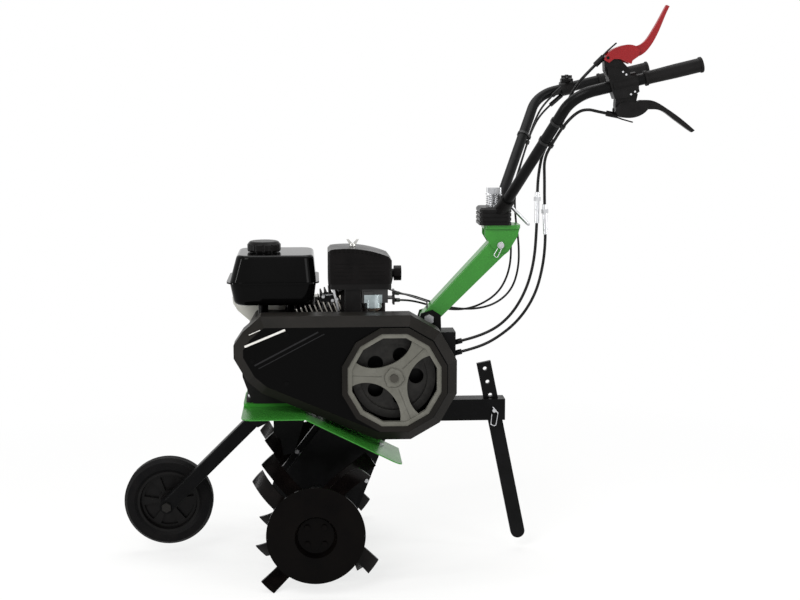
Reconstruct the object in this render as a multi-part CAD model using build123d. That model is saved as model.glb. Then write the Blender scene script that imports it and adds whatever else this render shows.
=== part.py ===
from build123d import *
import math
import os

# Sizes are in millimetres. X runs from the front wheel back to the grips, Y from the belt side across
# to the starter side and Z up from the floor. Pieces are built with X = 0 at the tine axle and are
# moved together at the end, so that the origin lies on the floor in the middle of the machine.

# Clearances
running_fit = 0.05
free_gap = 0.3
belt_gap = 0.4

# Tine rotor
tine_tip_radius = 150.0
tine_width = 31.0
tine_thickness = 5.0
tine_sweep_radius = 260.0
tine_bend_radius = 95.0
tine_bend_angle = 46.0
tine_foot = 8.0
tines_per_set = 4
stance_angle = 33.75
inner_set_offset = 100.0
outer_set_offset = 212.0
tine_hub_radius = 20.0
tine_hub_length = 64.0
tine_flange_radius = 40.0
tine_flange_thickness = 7.0
tine_shaft_radius = 14.0
tine_pin_radius = 4.0
guard_disc_radius = 96.0
guard_disc_offset = 290.0
guard_disc_sheet = 3.0
guard_disc_dish = 10.0
guard_disc_recess_radius = 38.0
guard_disc_recess_depth = 13.0

# Chain drive
chain_pitch = 15.875
chain_links = 60
small_teeth = 10
large_teeth = 28
chain_roller_radius = 5.0
link_plate = 1.5
link_height = 11.0
sprocket_thickness = 6.0
case_tilt = 60.5
case_depth = 24.0
case_wall = 4.0
case_flange = 10.5
case_flange_thickness = 5.0
chain_room = 3.5
bearing_width = 14.0
bearing_ring = 11.0
bearing_boss_wall = 5.0
input_shaft_radius = 10.0
case_bolt_radius = 2.5

# Belt drive
crank_x = -75.0
crank_height = 106.0
belt_y = -120.0
belt_width = 13.0
belt_height = 8.0
belt_side_angle = 19.0
crank_pulley_radius = 36.0
driven_pulley_radius = 80.0
pulley_width = 22.0
pulley_rim = 12.0
driven_pulley_web = 7.0
driven_pulley_holes = 5
idler_radius = 18.0
idler_width = 15.0
idler_pivot = (64.0, 437.0)
idler_centre = (16.0, 450.0)
idler_arm_thickness = 5.0
idler_arm_width = 20.0
idler_pin_radius = 5.0

# Belt cover
cover_back = -88.0
cover_depth = 72.0
cover_wall = 3.0
cover_chamfer = 20.0
cover_ring_radius = 131.0
cover_frame_radius = 108.0
cover_frame_rise = 8.0
window_radius = 97.0
window_sides = 12
cover_top = 531.0
spider_depth = 12.0
spider_rim = 9.0
spider_hub_radius = 19.0
spider_sheet = 6.0
spider_dish = 24.0
spider_opening_distance = 78.0
spider_opening_depth = 50.0
spider_opening_half_width = 64.0
spoke_groove = 1.8
spoke_angles = (47.0, 174.0, 292.0)
back_plate_sheet = 3.0
screw_head_radius = 4.5
screw_length = 12.0

# Engine bed and hitch
bed_bottom = 332.0
bed_sheet = 6.0
bed_front = -146.0
bed_rear = 265.0
bed_half_width = 60.0
gusset_half = 30.0
gusset_sheet = 4.0
bed_slot_front = 38.0
bed_slot_rear = 192.0
blower_lift = 16.0
hitch_height = 45.0
hitch_width = 40.0
hitch_wall = 4.0
hitch_front = 196.0
hitch_rear = 400.0

# Fender
fender_half_width = 180.0
fender_sheet = 2.0
fender_bend_x = -18.0
fender_rear_x = 174.0
fender_drop = 97.0
fender_slot_half = 40.0
fender_corner = 22.0
wing_bolt_radius = 3.0
wing_bolt_y = 93.0

# Front wheel
wheel_radius = 93.0
wheel_width = 44.0
wheel_axle_x = -310.0
wheel_axle_height = 115.0
wheel_centre_y = 20.0
tyre_depth = 28.0
rim_hub_radius = 15.0
rim_web = 12.0
rim_pockets = 6
wheel_bolt_radius = 8.0
arm_tube = 28.0
arm_tube_wall = 2.5
arm_centre_y = -22.0
arm_pivot_x = -118.0
arm_pivot_z = 305.0
bracket_sheet = 3.5

# Depth bar
bar_width = 30.0
bar_thickness = 10.0
bar_length = 392.0
bar_tilt = 11.7
bar_cross_x = 376.0
bar_below_pin = 291.0
bar_hole_radius = 4.25
bar_hole_pitch = 29.0
bar_free_holes = 3
hitch_pin_radius = 4.0

# Column and turret
column_pivot = (237.5, 505.0)
column_head = (386.0, 658.0)
column_low_width = 32.0
column_high_width = 42.0
column_half_depth = 22.0
column_wall = 3.0
post_sheet = 4.0
post_front = 200.0
post_rear = 262.0
turret_front = 351.0
turret_rear = 427.0
turret_top = 700.0
turret_sheet = 8.0
turret_cheek = 4.0
swivel_x = 370.0
swivel_bolt_radius = 6.0
clamp_front = 341.0
clamp_rear = 407.0
clamp_half_width = 40.0
clamp_height = 36.0
spring_radius = 10.5
spring_wire_radius = 1.6
spring_turns = 5
spring_height = 25.0
spring_least_gap = 0.4
clamp_nut_height = 14.0
clamp_lever_rod = 3.0
clamp_lever_reach = (68.0, -70.0)
clamp_lever_half = 11.0

# Handlebars and controls
bar_tube_radius = 11.0
bar_tube_wall = 2.0
handle_base = (387.0, 30.0, 733.0)
handle_bend = (496.0, 220.0, 964.0)
handle_end = (739.0, 220.0, 1022.3)
handle_bend_radius = 70.0
socket_length = 28.0
socket_wall = 4.5
grip_length = 110.0
grip_radius = 13.6
grip_waist_radius = 12.7
grip_flange_radius = 15.2
grip_flange = 5.0
lever_thickness = 12.0
lever_width = 32.0
lever_room = 23.0
lever_pin_radius = 3.0
housing_width = 30.0
tongue_width = 21.0
reverse_pivot = (558.0, 1035.0)
forward_pivot = (590.0, 938.0)
throttle_place = 0.27
throttle_width = 26.0
clutch_cable_radius = 3.0
throttle_cable_radius = 2.25
clip_half = 3.0
clip_room = 0.4
adjuster_room = 0.5
adjuster_wall = 1.1

# Engine
engine_near = -60.0
engine_far = 62.0
engine_foot_x = -49.0
engine_foot_half = 92.0
engine_foot_height = 10.0
engine_hole_x = 81.0
engine_hole_y = 37.75
engine_bolt_radius = 4.0
crankcase_rise = 70.0
cylinder_lean = 22.0
cylinder_start = 62.0
fin_count = 10
fin_pitch = 9.4
fin_thickness = 2.4
fin_width = 103.0
fin_upper = 76.0
fin_lower = 54.0
head_width = 104.0
head_length = 18.0
rocker_length = 24.0
tank_front = -176.0
tank_rear = 11.0
tank_near = -88.0
tank_far = 100.0
tank_low = 543.0
tank_lower_height = 47.0
tank_upper_height = 55.0
tank_flange = 6.0
tank_wall = 2.0
tank_upper_taper = (15.0, 5.0, 6.0)
tank_lower_taper = (9.0, 6.0, 6.0)
tank_corner = 26.0
tank_round = 8.0
tank_seam_sheet = 1.6
cap_x = -101.5
cap_y = 0.0
cap_radius = 34.5
cap_height = 21.0
cap_neck_radius = 27.0
cap_neck_height = 1.5
cleaner_front = 29.0
cleaner_rear = 158.0
cleaner_near = -90.0
cleaner_far = 10.0
cleaner_low = 577.0
cleaner_base_height = 11.0
cleaner_cover_height = 71.3
cleaner_wall = 2.5
elbow_front = 61.0
elbow_rear = 97.5
elbow_near = -83.0
elbow_far = -56.5
elbow_height = 57.0
bowl_x = 120.0
bowl_y = -66.0
bowl_radius = 17.5
bowl_height = 33.0
carb_height = 29.0
carb_rear = 150.0
drip_plate_rear = 160.0
blower_front = -172.0
blower_rear = 22.0
blower_top = 541.0
blower_depth = 46.0
muffler_wall = 2.0
muffler_front = 42.0
muffler_rear = 152.0
muffler_near = 52.0
muffler_far = 128.0
muffler_low = 505.0
muffler_top = 592.0
recoil_radius = 72.0
recoil_depth = 38.0
recoil_slots = 10
starter_grip_length = 84.0


# Shared shapes
def side_plane(y):
    return Plane(origin=(0, y, 0), x_dir=(1, 0, 0), z_dir=(0, -1, 0))


def across(outline, y_near, y_far):
    return extrude(side_plane(y_far) * outline, amount=y_far - y_near)


def upright(outline, z_low, z_high):
    return extrude(Plane.XY.offset(z_low) * outline, amount=z_high - z_low)


def polygon(*points):
    return make_face(Polyline(*points, close=True).edges())


def span(x_low, x_high, y_low, y_high, z_low, z_high):
    middle = ((x_low + x_high) / 2, (y_low + y_high) / 2, (z_low + z_high) / 2)
    return Pos(*middle) * Box(x_high - x_low, y_high - y_low, z_high - z_low)


def rod(start, end, radius):
    run = Vector(*end) - Vector(*start)
    return extrude(Plane(origin=start, z_dir=run) * Circle(radius), amount=run.length)


def cross_rod(x, z, y_near, y_far, radius):
    return rod((x, y_near, z), (x, y_far, z), radius)


def turned_y(x, z, *profile):
    plane = Plane(origin=(x, 0, z), x_dir=(1, 0, 0), z_dir=(0, 0, 1))
    return revolve(plane * polygon(*profile), axis=Axis((x, 0, z), (0, 1, 0)))


def turned_z(x, y, *profile):
    plane = Plane(origin=(x, y, 0), x_dir=(1, 0, 0), z_dir=(0, -1, 0))
    return revolve(plane * polygon(*profile), axis=Axis((x, y, 0), (0, 0, 1)))


def hex_bolt(seat, outward, radius, shank):
    direction = Vector(*outward)
    top = Plane(origin=seat, z_dir=direction)
    head = extrude(top * RegularPolygon(1.9 * radius, 6), amount=1.3 * radius)
    stem = extrude(Plane(origin=seat, z_dir=direction * -1) * Circle(radius), amount=shank)
    return head + stem


def polar(centre, radius, angle):
    return (centre[0] + radius * math.cos(angle), centre[1] + radius * math.sin(angle))


def loop_edges(low, low_radius, high, high_radius):
    distance = math.hypot(high[0] - low[0], high[1] - low[1])
    base = math.atan2(high[1] - low[1], high[0] - low[0])
    lean = math.acos((low_radius - high_radius) / distance)
    front_low = polar(low, low_radius, base + lean)
    front_high = polar(high, high_radius, base + lean)
    rear_low = polar(low, low_radius, base - lean)
    rear_high = polar(high, high_radius, base - lean)
    return [
        Line(front_low, front_high),
        ThreePointArc(front_high, polar(high, high_radius, base), rear_high),
        Line(rear_high, rear_low),
        ThreePointArc(rear_low, polar(low, low_radius, base + math.pi), front_low),
    ]


def loop_face(low, low_radius, high, high_radius):
    return make_face(loop_edges(low, low_radius, high, high_radius))


# Tine rotor
def tine(side):
    half = tine_thickness / 2
    outer_radius = tine_bend_radius + tine_thickness
    bend = math.radians(tine_bend_angle)
    drop = outer_radius * math.sin(bend) + tine_foot * math.cos(bend)
    bend_height = tine_tip_radius + half - drop
    inner_leg = Line((half, -tine_hub_radius), (half, -bend_height))
    inner_bend = JernArc(inner_leg @ 1, (0, -1), tine_bend_radius, tine_bend_angle)
    inner_foot = Line(inner_bend @ 1, inner_bend @ 1 + (inner_bend % 1) * tine_foot)
    outer_leg = Line((-half, -tine_hub_radius), (-half, -bend_height))
    outer_bend = JernArc(outer_leg @ 1, (0, -1), outer_radius, tine_bend_angle)
    outer_foot = Line(outer_bend @ 1, outer_bend @ 1 + (outer_bend % 1) * tine_foot)
    tip = Line(inner_foot @ 1, outer_foot @ 1)
    root = Line(outer_leg @ 0, inner_leg @ 0)
    profile = make_face([inner_leg, inner_bend, inner_foot, tip, outer_foot, outer_bend, outer_leg, root])
    strap = extrude(Plane.YZ * profile, amount=tine_tip_radius, both=True)
    ring = Circle(tine_sweep_radius + tine_width / 2) - Circle(tine_sweep_radius - tine_width / 2)
    sweep_band = across(Pos(-tine_sweep_radius, 0) * ring, -tine_tip_radius, tine_tip_radius)
    reach = across(Circle(tine_tip_radius), -tine_tip_radius, tine_tip_radius)
    blade = strap & sweep_band & reach
    return blade if side > 0 else mirror(blade, about=Plane.XZ)


def tine_set(offset, phase):
    near = offset - tine_hub_length / 2
    far = offset + tine_hub_length / 2
    half = tine_flange_thickness / 2
    hub = cross_rod(0, 0, near, far, tine_hub_radius)
    hub += cross_rod(0, 0, offset - half, offset + half, tine_flange_radius)
    for number in range(tines_per_set):
        side = 1 if number % 2 else -1
        turn = Rot(0, phase + number * 360 / tines_per_set, 0)
        hub += Pos(0, offset, 0) * turn * tine(side)
    hub -= cross_rod(0, 0, near, far, tine_shaft_radius + running_fit)
    hub -= pin_rod(tine_pin_place(offset), tine_hub_radius, tine_pin_radius + running_fit)
    return hub


def tine_pin_place(offset):
    return offset + math.copysign(tine_hub_length / 4, offset)


def pin_rod(y, half_length, radius):
    return rod((-half_length, y, 0), (half_length, y, 0), radius)


tip_sweep = math.degrees(math.asin(tine_tip_radius / (2 * tine_sweep_radius)))
tip_half = math.degrees(tine_width / 2 / math.cos(math.radians(tip_sweep)) / tine_tip_radius)
outer_phase = stance_angle + tip_half - tip_sweep
inner_phase = -stance_angle - tip_half - tip_sweep

outer_tines_left = tine_set(-outer_set_offset, outer_phase)
outer_tines_right = tine_set(outer_set_offset, outer_phase)
inner_tines_left = tine_set(-inner_set_offset, inner_phase)
inner_tines_right = tine_set(inner_set_offset, inner_phase)
axle_height = -min(outer_tines_left.bounding_box().min.Z, inner_tines_left.bounding_box().min.Z)
raise_rotor = Pos(0, 0, axle_height)
axle = (0.0, axle_height)

mean_teeth = (small_teeth + large_teeth) / 2
free_links = chain_links - mean_teeth
teeth_spread = ((large_teeth - small_teeth) / (2 * math.pi)) ** 2
shaft_distance = chain_pitch / 4 * (free_links + math.sqrt(free_links**2 - 8 * teeth_spread))
input_axis = polar(axle, shaft_distance, math.radians(case_tilt))
small_radius = small_teeth * chain_pitch / (2 * math.pi)
large_radius = large_teeth * chain_pitch / (2 * math.pi)


def guard_disc(side):
    face = guard_disc_offset
    sheet = guard_disc_sheet
    rim = face - guard_disc_dish
    floor = face - guard_disc_recess_depth
    wall_radius = guard_disc_recess_radius
    profile = (
        (0, floor),
        (wall_radius - sheet, floor),
        (wall_radius + sheet, face),
        (guard_disc_radius, rim),
        (guard_disc_radius, rim - sheet),
        (wall_radius + 2 * sheet, face - sheet),
        (wall_radius, floor - sheet),
        (0, floor - sheet),
    )
    disc = turned_y(0, 0, *profile)
    for number in range(4):
        place = polar((0, 0), wall_radius * 0.62, math.pi * (number / 2 + 0.25))
        disc += extrude(side_plane(floor + 4) * (Pos(*place) * RegularPolygon(6.0, 6)), amount=4)
    return disc if side > 0 else mirror(disc, about=Plane.XZ)


def tine_shaft():
    end = guard_disc_offset - guard_disc_recess_depth - guard_disc_sheet
    shaft = cross_rod(0, 0, -end, end, tine_shaft_radius)
    for offset in (-outer_set_offset, -inner_set_offset, inner_set_offset, outer_set_offset):
        shaft -= pin_rod(tine_pin_place(offset), tine_shaft_radius + 1, tine_pin_radius + running_fit)
    return raise_rotor * shaft + sprocket(axle, large_radius, large_teeth, large_gap_angle())


def tine_pins():
    pins = []
    for offset in (-outer_set_offset, -inner_set_offset, inner_set_offset, outer_set_offset):
        y = tine_pin_place(offset)
        pin = pin_rod(y, tine_hub_radius + 4, tine_pin_radius)
        head = rod((tine_hub_radius, y, 0), (tine_hub_radius + 4, y, 0), tine_pin_radius + 2.5)
        pins.append(raise_rotor * (pin + head))
    return pins


# Chain drive
chain_lean = math.acos((large_radius - small_radius) / shaft_distance)
chain_base = math.radians(case_tilt)
straight_run = shaft_distance * math.sin(chain_lean)
small_wrap = 2 * chain_lean * small_radius
large_wrap = 2 * (math.pi - chain_lean) * large_radius
chain_length = 2 * straight_run + small_wrap + large_wrap


def chain_station(number):
    distance = (number % chain_links) * chain_length / chain_links
    if distance < straight_run:
        foot = polar(axle, large_radius, chain_base + chain_lean)
        head = polar(input_axis, small_radius, chain_base + chain_lean)
        share = distance / straight_run
        return (foot[0] + (head[0] - foot[0]) * share, foot[1] + (head[1] - foot[1]) * share)
    distance -= straight_run
    if distance < small_wrap:
        return polar(input_axis, small_radius, chain_base + chain_lean - distance / small_radius)
    distance -= small_wrap
    if distance < straight_run:
        head = polar(input_axis, small_radius, chain_base - chain_lean)
        foot = polar(axle, large_radius, chain_base - chain_lean)
        share = distance / straight_run
        return (head[0] + (foot[0] - head[0]) * share, head[1] + (foot[1] - head[1]) * share)
    distance -= straight_run
    return polar(axle, large_radius, chain_base - chain_lean - distance / large_radius)


def gap_angle(centre, distance):
    station = chain_station(math.ceil(distance * chain_links / chain_length))
    return math.atan2(station[1] - centre[1], station[0] - centre[0])


def small_gap_angle():
    return gap_angle(input_axis, straight_run + small_wrap / 2)


def large_gap_angle():
    return gap_angle(axle, 2 * straight_run + small_wrap + large_wrap / 2)


def sprocket(centre, radius, teeth, first_gap):
    disc = Pos(*centre) * Circle(radius + chain_roller_radius * 0.7)
    throat = chain_roller_radius + free_gap
    mouth = throat + 3
    gap = Circle(throat) + polygon((0, -throat), (throat, -mouth), (throat, mouth), (0, throat))
    for number in range(teeth):
        turn = first_gap + number * 2 * math.pi / teeth
        disc -= Pos(*polar(centre, radius, turn)) * Rot(0, 0, math.degrees(turn)) * gap
    half = sprocket_thickness / 2
    hub = cross_rod(centre[0], centre[1], -2.5 * half, 2.5 * half, radius * 0.55)
    return across(disc, -half, half) + hub


def link_side(start, end, y_near, y_far):
    run = Vector(end[0] - start[0], end[1] - start[1])
    along = run.normalized()
    rise = Vector(-along.Y, along.X) * (link_height / 2)
    nose = along * (link_height / 2)
    begin = Vector(*start)
    finish = Vector(*end)
    outline = polygon(begin - nose, begin + rise, finish + rise, finish + nose, finish - rise, begin - rise)
    return across(outline, y_near, y_far)


def drive_chain():
    inner = sprocket_thickness / 2 + 2 * free_gap
    outer = inner + link_plate + free_gap
    links = []
    for number in range(chain_links):
        start = chain_station(number)
        end = chain_station(number + 1)
        near = inner if number % 2 == 0 else outer
        far = near + link_plate
        sides = [link_side(start, end, -far, -near), link_side(start, end, near, far)]
        if number % 2:
            links += sides
            continue
        rollers = Pos(*start) * RegularPolygon(chain_roller_radius, 8)
        rollers += Pos(*end) * RegularPolygon(chain_roller_radius, 8)
        links.append(across(rollers, -near, near) + sides)
    return links


def case_face(margin):
    return loop_face(axle, large_radius + margin, input_axis, small_radius + margin)


def bearing_bore(shaft_radius):
    return shaft_radius + bearing_ring


def case_bolt_places():
    margin = link_height / 2 + chain_room + case_wall + case_flange / 2
    outline = Wire(loop_edges(axle, large_radius + margin, input_axis, small_radius + margin))
    return [outline.position_at((number + 0.5) / 10) for number in range(10)]


def chain_case(side):
    room = link_height / 2 + chain_room
    shell = across(case_face(room + case_wall), 0, case_depth)
    shell += across(case_face(room + case_wall + case_flange), 0, case_flange_thickness)
    boss_end = case_depth + bearing_width - case_wall
    for centre, radius in ((axle, tine_shaft_radius), (input_axis, input_shaft_radius)):
        boss_radius = bearing_bore(radius) + bearing_boss_wall
        shell += cross_rod(centre[0], centre[1], 0, boss_end, boss_radius)
    shell -= across(case_face(room), 0, case_depth - case_wall)
    for centre, radius in ((axle, tine_shaft_radius), (input_axis, input_shaft_radius)):
        shell -= cross_rod(centre[0], centre[1], 0, boss_end, bearing_bore(radius))
    for place in case_bolt_places():
        shell -= cross_rod(place.X, place.Y, 0, case_flange_thickness, case_bolt_radius + running_fit)
    return shell if side > 0 else mirror(shell, about=Plane.XZ)


def case_bearings():
    rings = []
    inner = case_depth - case_wall
    for centre, radius in ((axle, tine_shaft_radius), (input_axis, input_shaft_radius)):
        ring = turned_y(
            centre[0],
            centre[1],
            (radius + running_fit, inner),
            (bearing_bore(radius) - running_fit, inner),
            (bearing_bore(radius) - running_fit, inner + bearing_width),
            (radius + running_fit, inner + bearing_width),
        )
        rings += [ring, mirror(ring, about=Plane.XZ)]
    return rings


def input_shaft():
    far = case_depth + bearing_width
    near = belt_y - pulley_width / 2 - 2
    shaft = cross_rod(input_axis[0], input_axis[1], near, far, input_shaft_radius)
    return shaft + sprocket(input_axis, small_radius, small_teeth, small_gap_angle())


# Belt drive
bed_top = bed_bottom + bed_sheet
crank = (crank_x, bed_top + crank_height)
groove_slope = math.tan(math.radians(belt_side_angle))


def pulley(centre, radius, bore, rim_inner):
    top = radius + belt_height / 2
    floor = radius - belt_height / 2 - 2 * belt_gap
    half_top = belt_width / 2 + belt_gap
    half_floor = half_top - (top - floor) * groove_slope
    near = belt_y - pulley_width / 2
    far = belt_y + pulley_width / 2
    rim = turned_y(
        centre[0],
        centre[1],
        (rim_inner, near),
        (top, near),
        (top, belt_y - half_top),
        (floor, belt_y - half_floor),
        (floor, belt_y + half_floor),
        (top, belt_y + half_top),
        (top, far),
        (rim_inner, far),
    )
    if rim_inner > bore:
        hub_radius = bore * 2.2
        rim += cross_rod(centre[0], centre[1], near, far, hub_radius)
        web = Pos(*centre) * (Circle(rim_inner + 1) - Circle(bore))
        hole_ring = (rim_inner + hub_radius) / 2
        for number in range(driven_pulley_holes):
            place = polar(centre, hole_ring, 2 * math.pi * number / driven_pulley_holes)
            web -= Pos(*place) * Circle((rim_inner - hub_radius) * 0.34)
        rim += across(web, belt_y - driven_pulley_web / 2, belt_y + driven_pulley_web / 2)
        rim -= cross_rod(centre[0], centre[1], near, far, bore)
    return rim


def driven_pulley():
    rim_inner = driven_pulley_radius - pulley_rim
    return pulley(input_axis, driven_pulley_radius, input_shaft_radius + running_fit, rim_inner)


def crank_pulley():
    bore = crank_radius + running_fit
    return pulley(crank, crank_pulley_radius, bore, bore)


crank_radius = 10.0


def belt_loop(shift):
    return loop_edges(crank, crank_pulley_radius + shift, input_axis, driven_pulley_radius + shift)


def drive_belt():
    path = Wire(belt_loop(0))
    half = belt_height / 2
    outer = belt_width / 2
    inner = outer - belt_height * groove_slope
    start = path.position_at(0)
    tangent = path.tangent_at(0)
    world_start = (start.X, belt_y, start.Y)
    section_plane = Plane(origin=world_start, x_dir=(0, 1, 0), z_dir=(tangent.X, 0, tangent.Y))
    away = section_plane.y_dir
    outward = Vector(start.X - crank[0], 0, start.Y - crank[1])
    flip = 1 if away.dot(outward) > 0 else -1
    low = -half * flip
    section = polygon((-inner, low), (inner, low), (outer, -low), (-outer, -low))
    return sweep(section_plane * section, path=side_plane(belt_y) * path)


arm_y_far = belt_y + idler_width / 2 + free_gap + idler_arm_thickness


def idler_arm():
    width = idler_arm_width / 2
    outline = loop_face(idler_pivot, width, idler_centre, width)
    arm = across(outline, arm_y_far - idler_arm_thickness, arm_y_far)
    arm -= cross_rod(*idler_pivot, arm_y_far - idler_arm_thickness, arm_y_far, idler_pin_radius + running_fit)
    near = belt_y - idler_width / 2 - 3
    arm += cross_rod(*idler_centre, near, arm_y_far - idler_arm_thickness, idler_pin_radius)
    return arm + cross_rod(*idler_centre, near - 3, near, idler_pin_radius + 4)


def idler_pulley():
    near = belt_y - idler_width / 2
    far = belt_y + idler_width / 2
    bore = idler_pin_radius + running_fit
    return turned_y(
        *idler_centre,
        (bore, near - 2),
        (bore + 5, near - 2),
        (bore + 5, near),
        (idler_radius, near),
        (idler_radius, far),
        (bore + 5, far),
        (bore + 5, far + free_gap / 2),
        (bore, far + free_gap / 2),
    )


def cover_outline():
    half_step = 180 / window_sides
    turns = [90 - half_step - 2 * half_step * number for number in range(window_sides // 2 + 1)]
    corners = [polar(input_axis, cover_ring_radius, math.radians(turn)) for turn in turns]
    top = corners[0][1]
    return polygon(
        *corners,
        (crank_x - 30, top - 155),
        (crank_x - 59, top - 130),
        (crank_x - 85, top - 84),
        (crank_x - 85, top - 58),
        (crank_x - 67, top - 31),
        (crank_x - 31, top),
    )


def cover_form(inset):
    outline = offset(cover_outline(), amount=-inset, kind=Kind.INTERSECTION) if inset else cover_outline()
    front = cover_back - cover_depth + inset
    form = across(outline, front, cover_back)
    front_edges = form.faces().sort_by(Axis.Y)[0].edges()
    return chamfer(front_edges, cover_chamfer)


cover_front = cover_back - cover_depth


def dodecagon(radius):
    return Pos(*input_axis) * RegularPolygon(radius, window_sides, rotation=15)


def belt_cover():
    shell = cover_form(0) + across(dodecagon(cover_frame_radius), cover_front - cover_frame_rise, cover_front)
    shell -= cover_form(cover_wall)
    shell -= across(dodecagon(window_radius), cover_front - cover_frame_rise, cover_front + 2 * cover_wall)
    for place in cover_screw_places():
        shell -= cross_rod(*place, cover_front, cover_front + cover_wall, screw_head_radius / 2 + running_fit)
    return shell


def cover_screw_places():
    return [
        (crank_x - 48, crank[1] + 2),
        (crank_x + 20, input_axis[1] + cover_ring_radius * 0.9659 - 34),
        (crank_x + 20, crank[1] - 44),
    ]


def spider_plan():
    rim = window_radius - free_gap
    plan = dodecagon(rim)
    ends = spoke_angles[1:] + (spoke_angles[0] + 360,)
    for start, end in zip(spoke_angles, ends):
        opening = Pos(spider_opening_distance, 0) * Ellipse(spider_opening_depth, spider_opening_half_width)
        opening = Pos(*input_axis) * Rot(0, 0, (start + end) / 2) * opening
        plan -= opening & dodecagon(rim - spider_rim)
    return plan


spider_near = cover_front - cover_frame_rise + 3
spider_hub_near = spider_near + spider_dish - 3


def spider_dish_form(lift, depth):
    reach = window_radius + 5
    low = spider_near + spider_dish
    return turned_y(
        *input_axis,
        (0, low - lift),
        (spider_hub_radius, low - lift),
        (reach, spider_near - lift),
        (reach, spider_near + depth),
        (spider_hub_radius, low + depth),
        (0, low + depth),
    )


def cover_spider():
    rim = window_radius - free_gap
    plan = spider_plan()
    back = spider_near + spider_dish + spider_sheet
    insert = across(plan, spider_near - 1, back + 1) & spider_dish_form(0, spider_sheet)
    frame = dodecagon(rim) - dodecagon(rim - spider_rim)
    insert += across(frame, spider_near, spider_near + spider_depth)
    for angle in spoke_angles:
        groove = polygon(
            (spider_hub_radius + 6, -spoke_groove / 2),
            (rim - spider_rim - 2, -spoke_groove / 2),
            (rim - spider_rim - 2, spoke_groove / 2),
            (spider_hub_radius + 6, spoke_groove / 2),
        )
        groove = Pos(*input_axis) * Rot(0, 0, angle) * groove
        insert -= across(groove, spider_near - 1, back + 1) & spider_dish_form(8, 1.2)
        knob = polar(input_axis, spider_hub_radius - 3, math.radians(angle + 60))
        insert += cross_rod(*knob, spider_hub_near, back, 5)
    return insert + cross_rod(*input_axis, spider_hub_near, back, spider_hub_radius - 1)


def cover_screws():
    screws = []
    for place in cover_screw_places():
        seat = (place[0], cover_front, place[1])
        stud = cross_rod(*place, cover_front, cover_front + screw_length, screw_head_radius / 2)
        head = extrude(Plane(origin=seat, z_dir=(0, -1, 0)) * Circle(screw_head_radius), amount=1.5)
        screws.append(head + stud)
    hub_seat = Plane(origin=(input_axis[0], spider_hub_near, input_axis[1]), z_dir=(0, -1, 0))
    screws.append(extrude(hub_seat * RegularPolygon(2 * screw_head_radius, 6), amount=4))
    return screws


def belt_backplate():
    far = cover_back + back_plate_sheet
    plate = across(cover_outline(), cover_back, far)
    plate -= cross_rod(*input_axis, cover_back, far, input_shaft_radius + 6)
    plate -= cross_rod(*crank, cover_back, far, crank_radius + 6)
    for angle in (45, 135, 225, 315):
        place = polar(crank, 46, math.radians(angle))
        plate += cross_rod(*place, far, engine_near, 8)
    plate += cross_rod(*idler_pivot, arm_y_far, cover_back, idler_pin_radius + 5)
    plate += cross_rod(*idler_pivot, arm_y_far - idler_arm_thickness - 2, arm_y_far, idler_pin_radius)
    return plate


# Engine bed, hitch and fender
arm_near = arm_centre_y - arm_tube / 2
arm_far = arm_centre_y + arm_tube / 2
bar_slope = math.radians(bar_tilt)
bar_direction = (math.sin(bar_slope), 0, -math.cos(bar_slope))
hitch_middle = bed_bottom - hitch_height / 2
bar_pin_along = bar_length - bar_below_pin
bar_top = (bar_cross_x - bar_direction[0] * bar_pin_along, hitch_middle - bar_direction[2] * bar_pin_along)


def bar_plane(along):
    origin = (bar_top[0] + bar_direction[0] * along, 0, bar_top[1] + bar_direction[2] * along)
    return Plane(origin=origin, x_dir=(math.cos(bar_slope), 0, math.sin(bar_slope)), z_dir=bar_direction)


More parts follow.
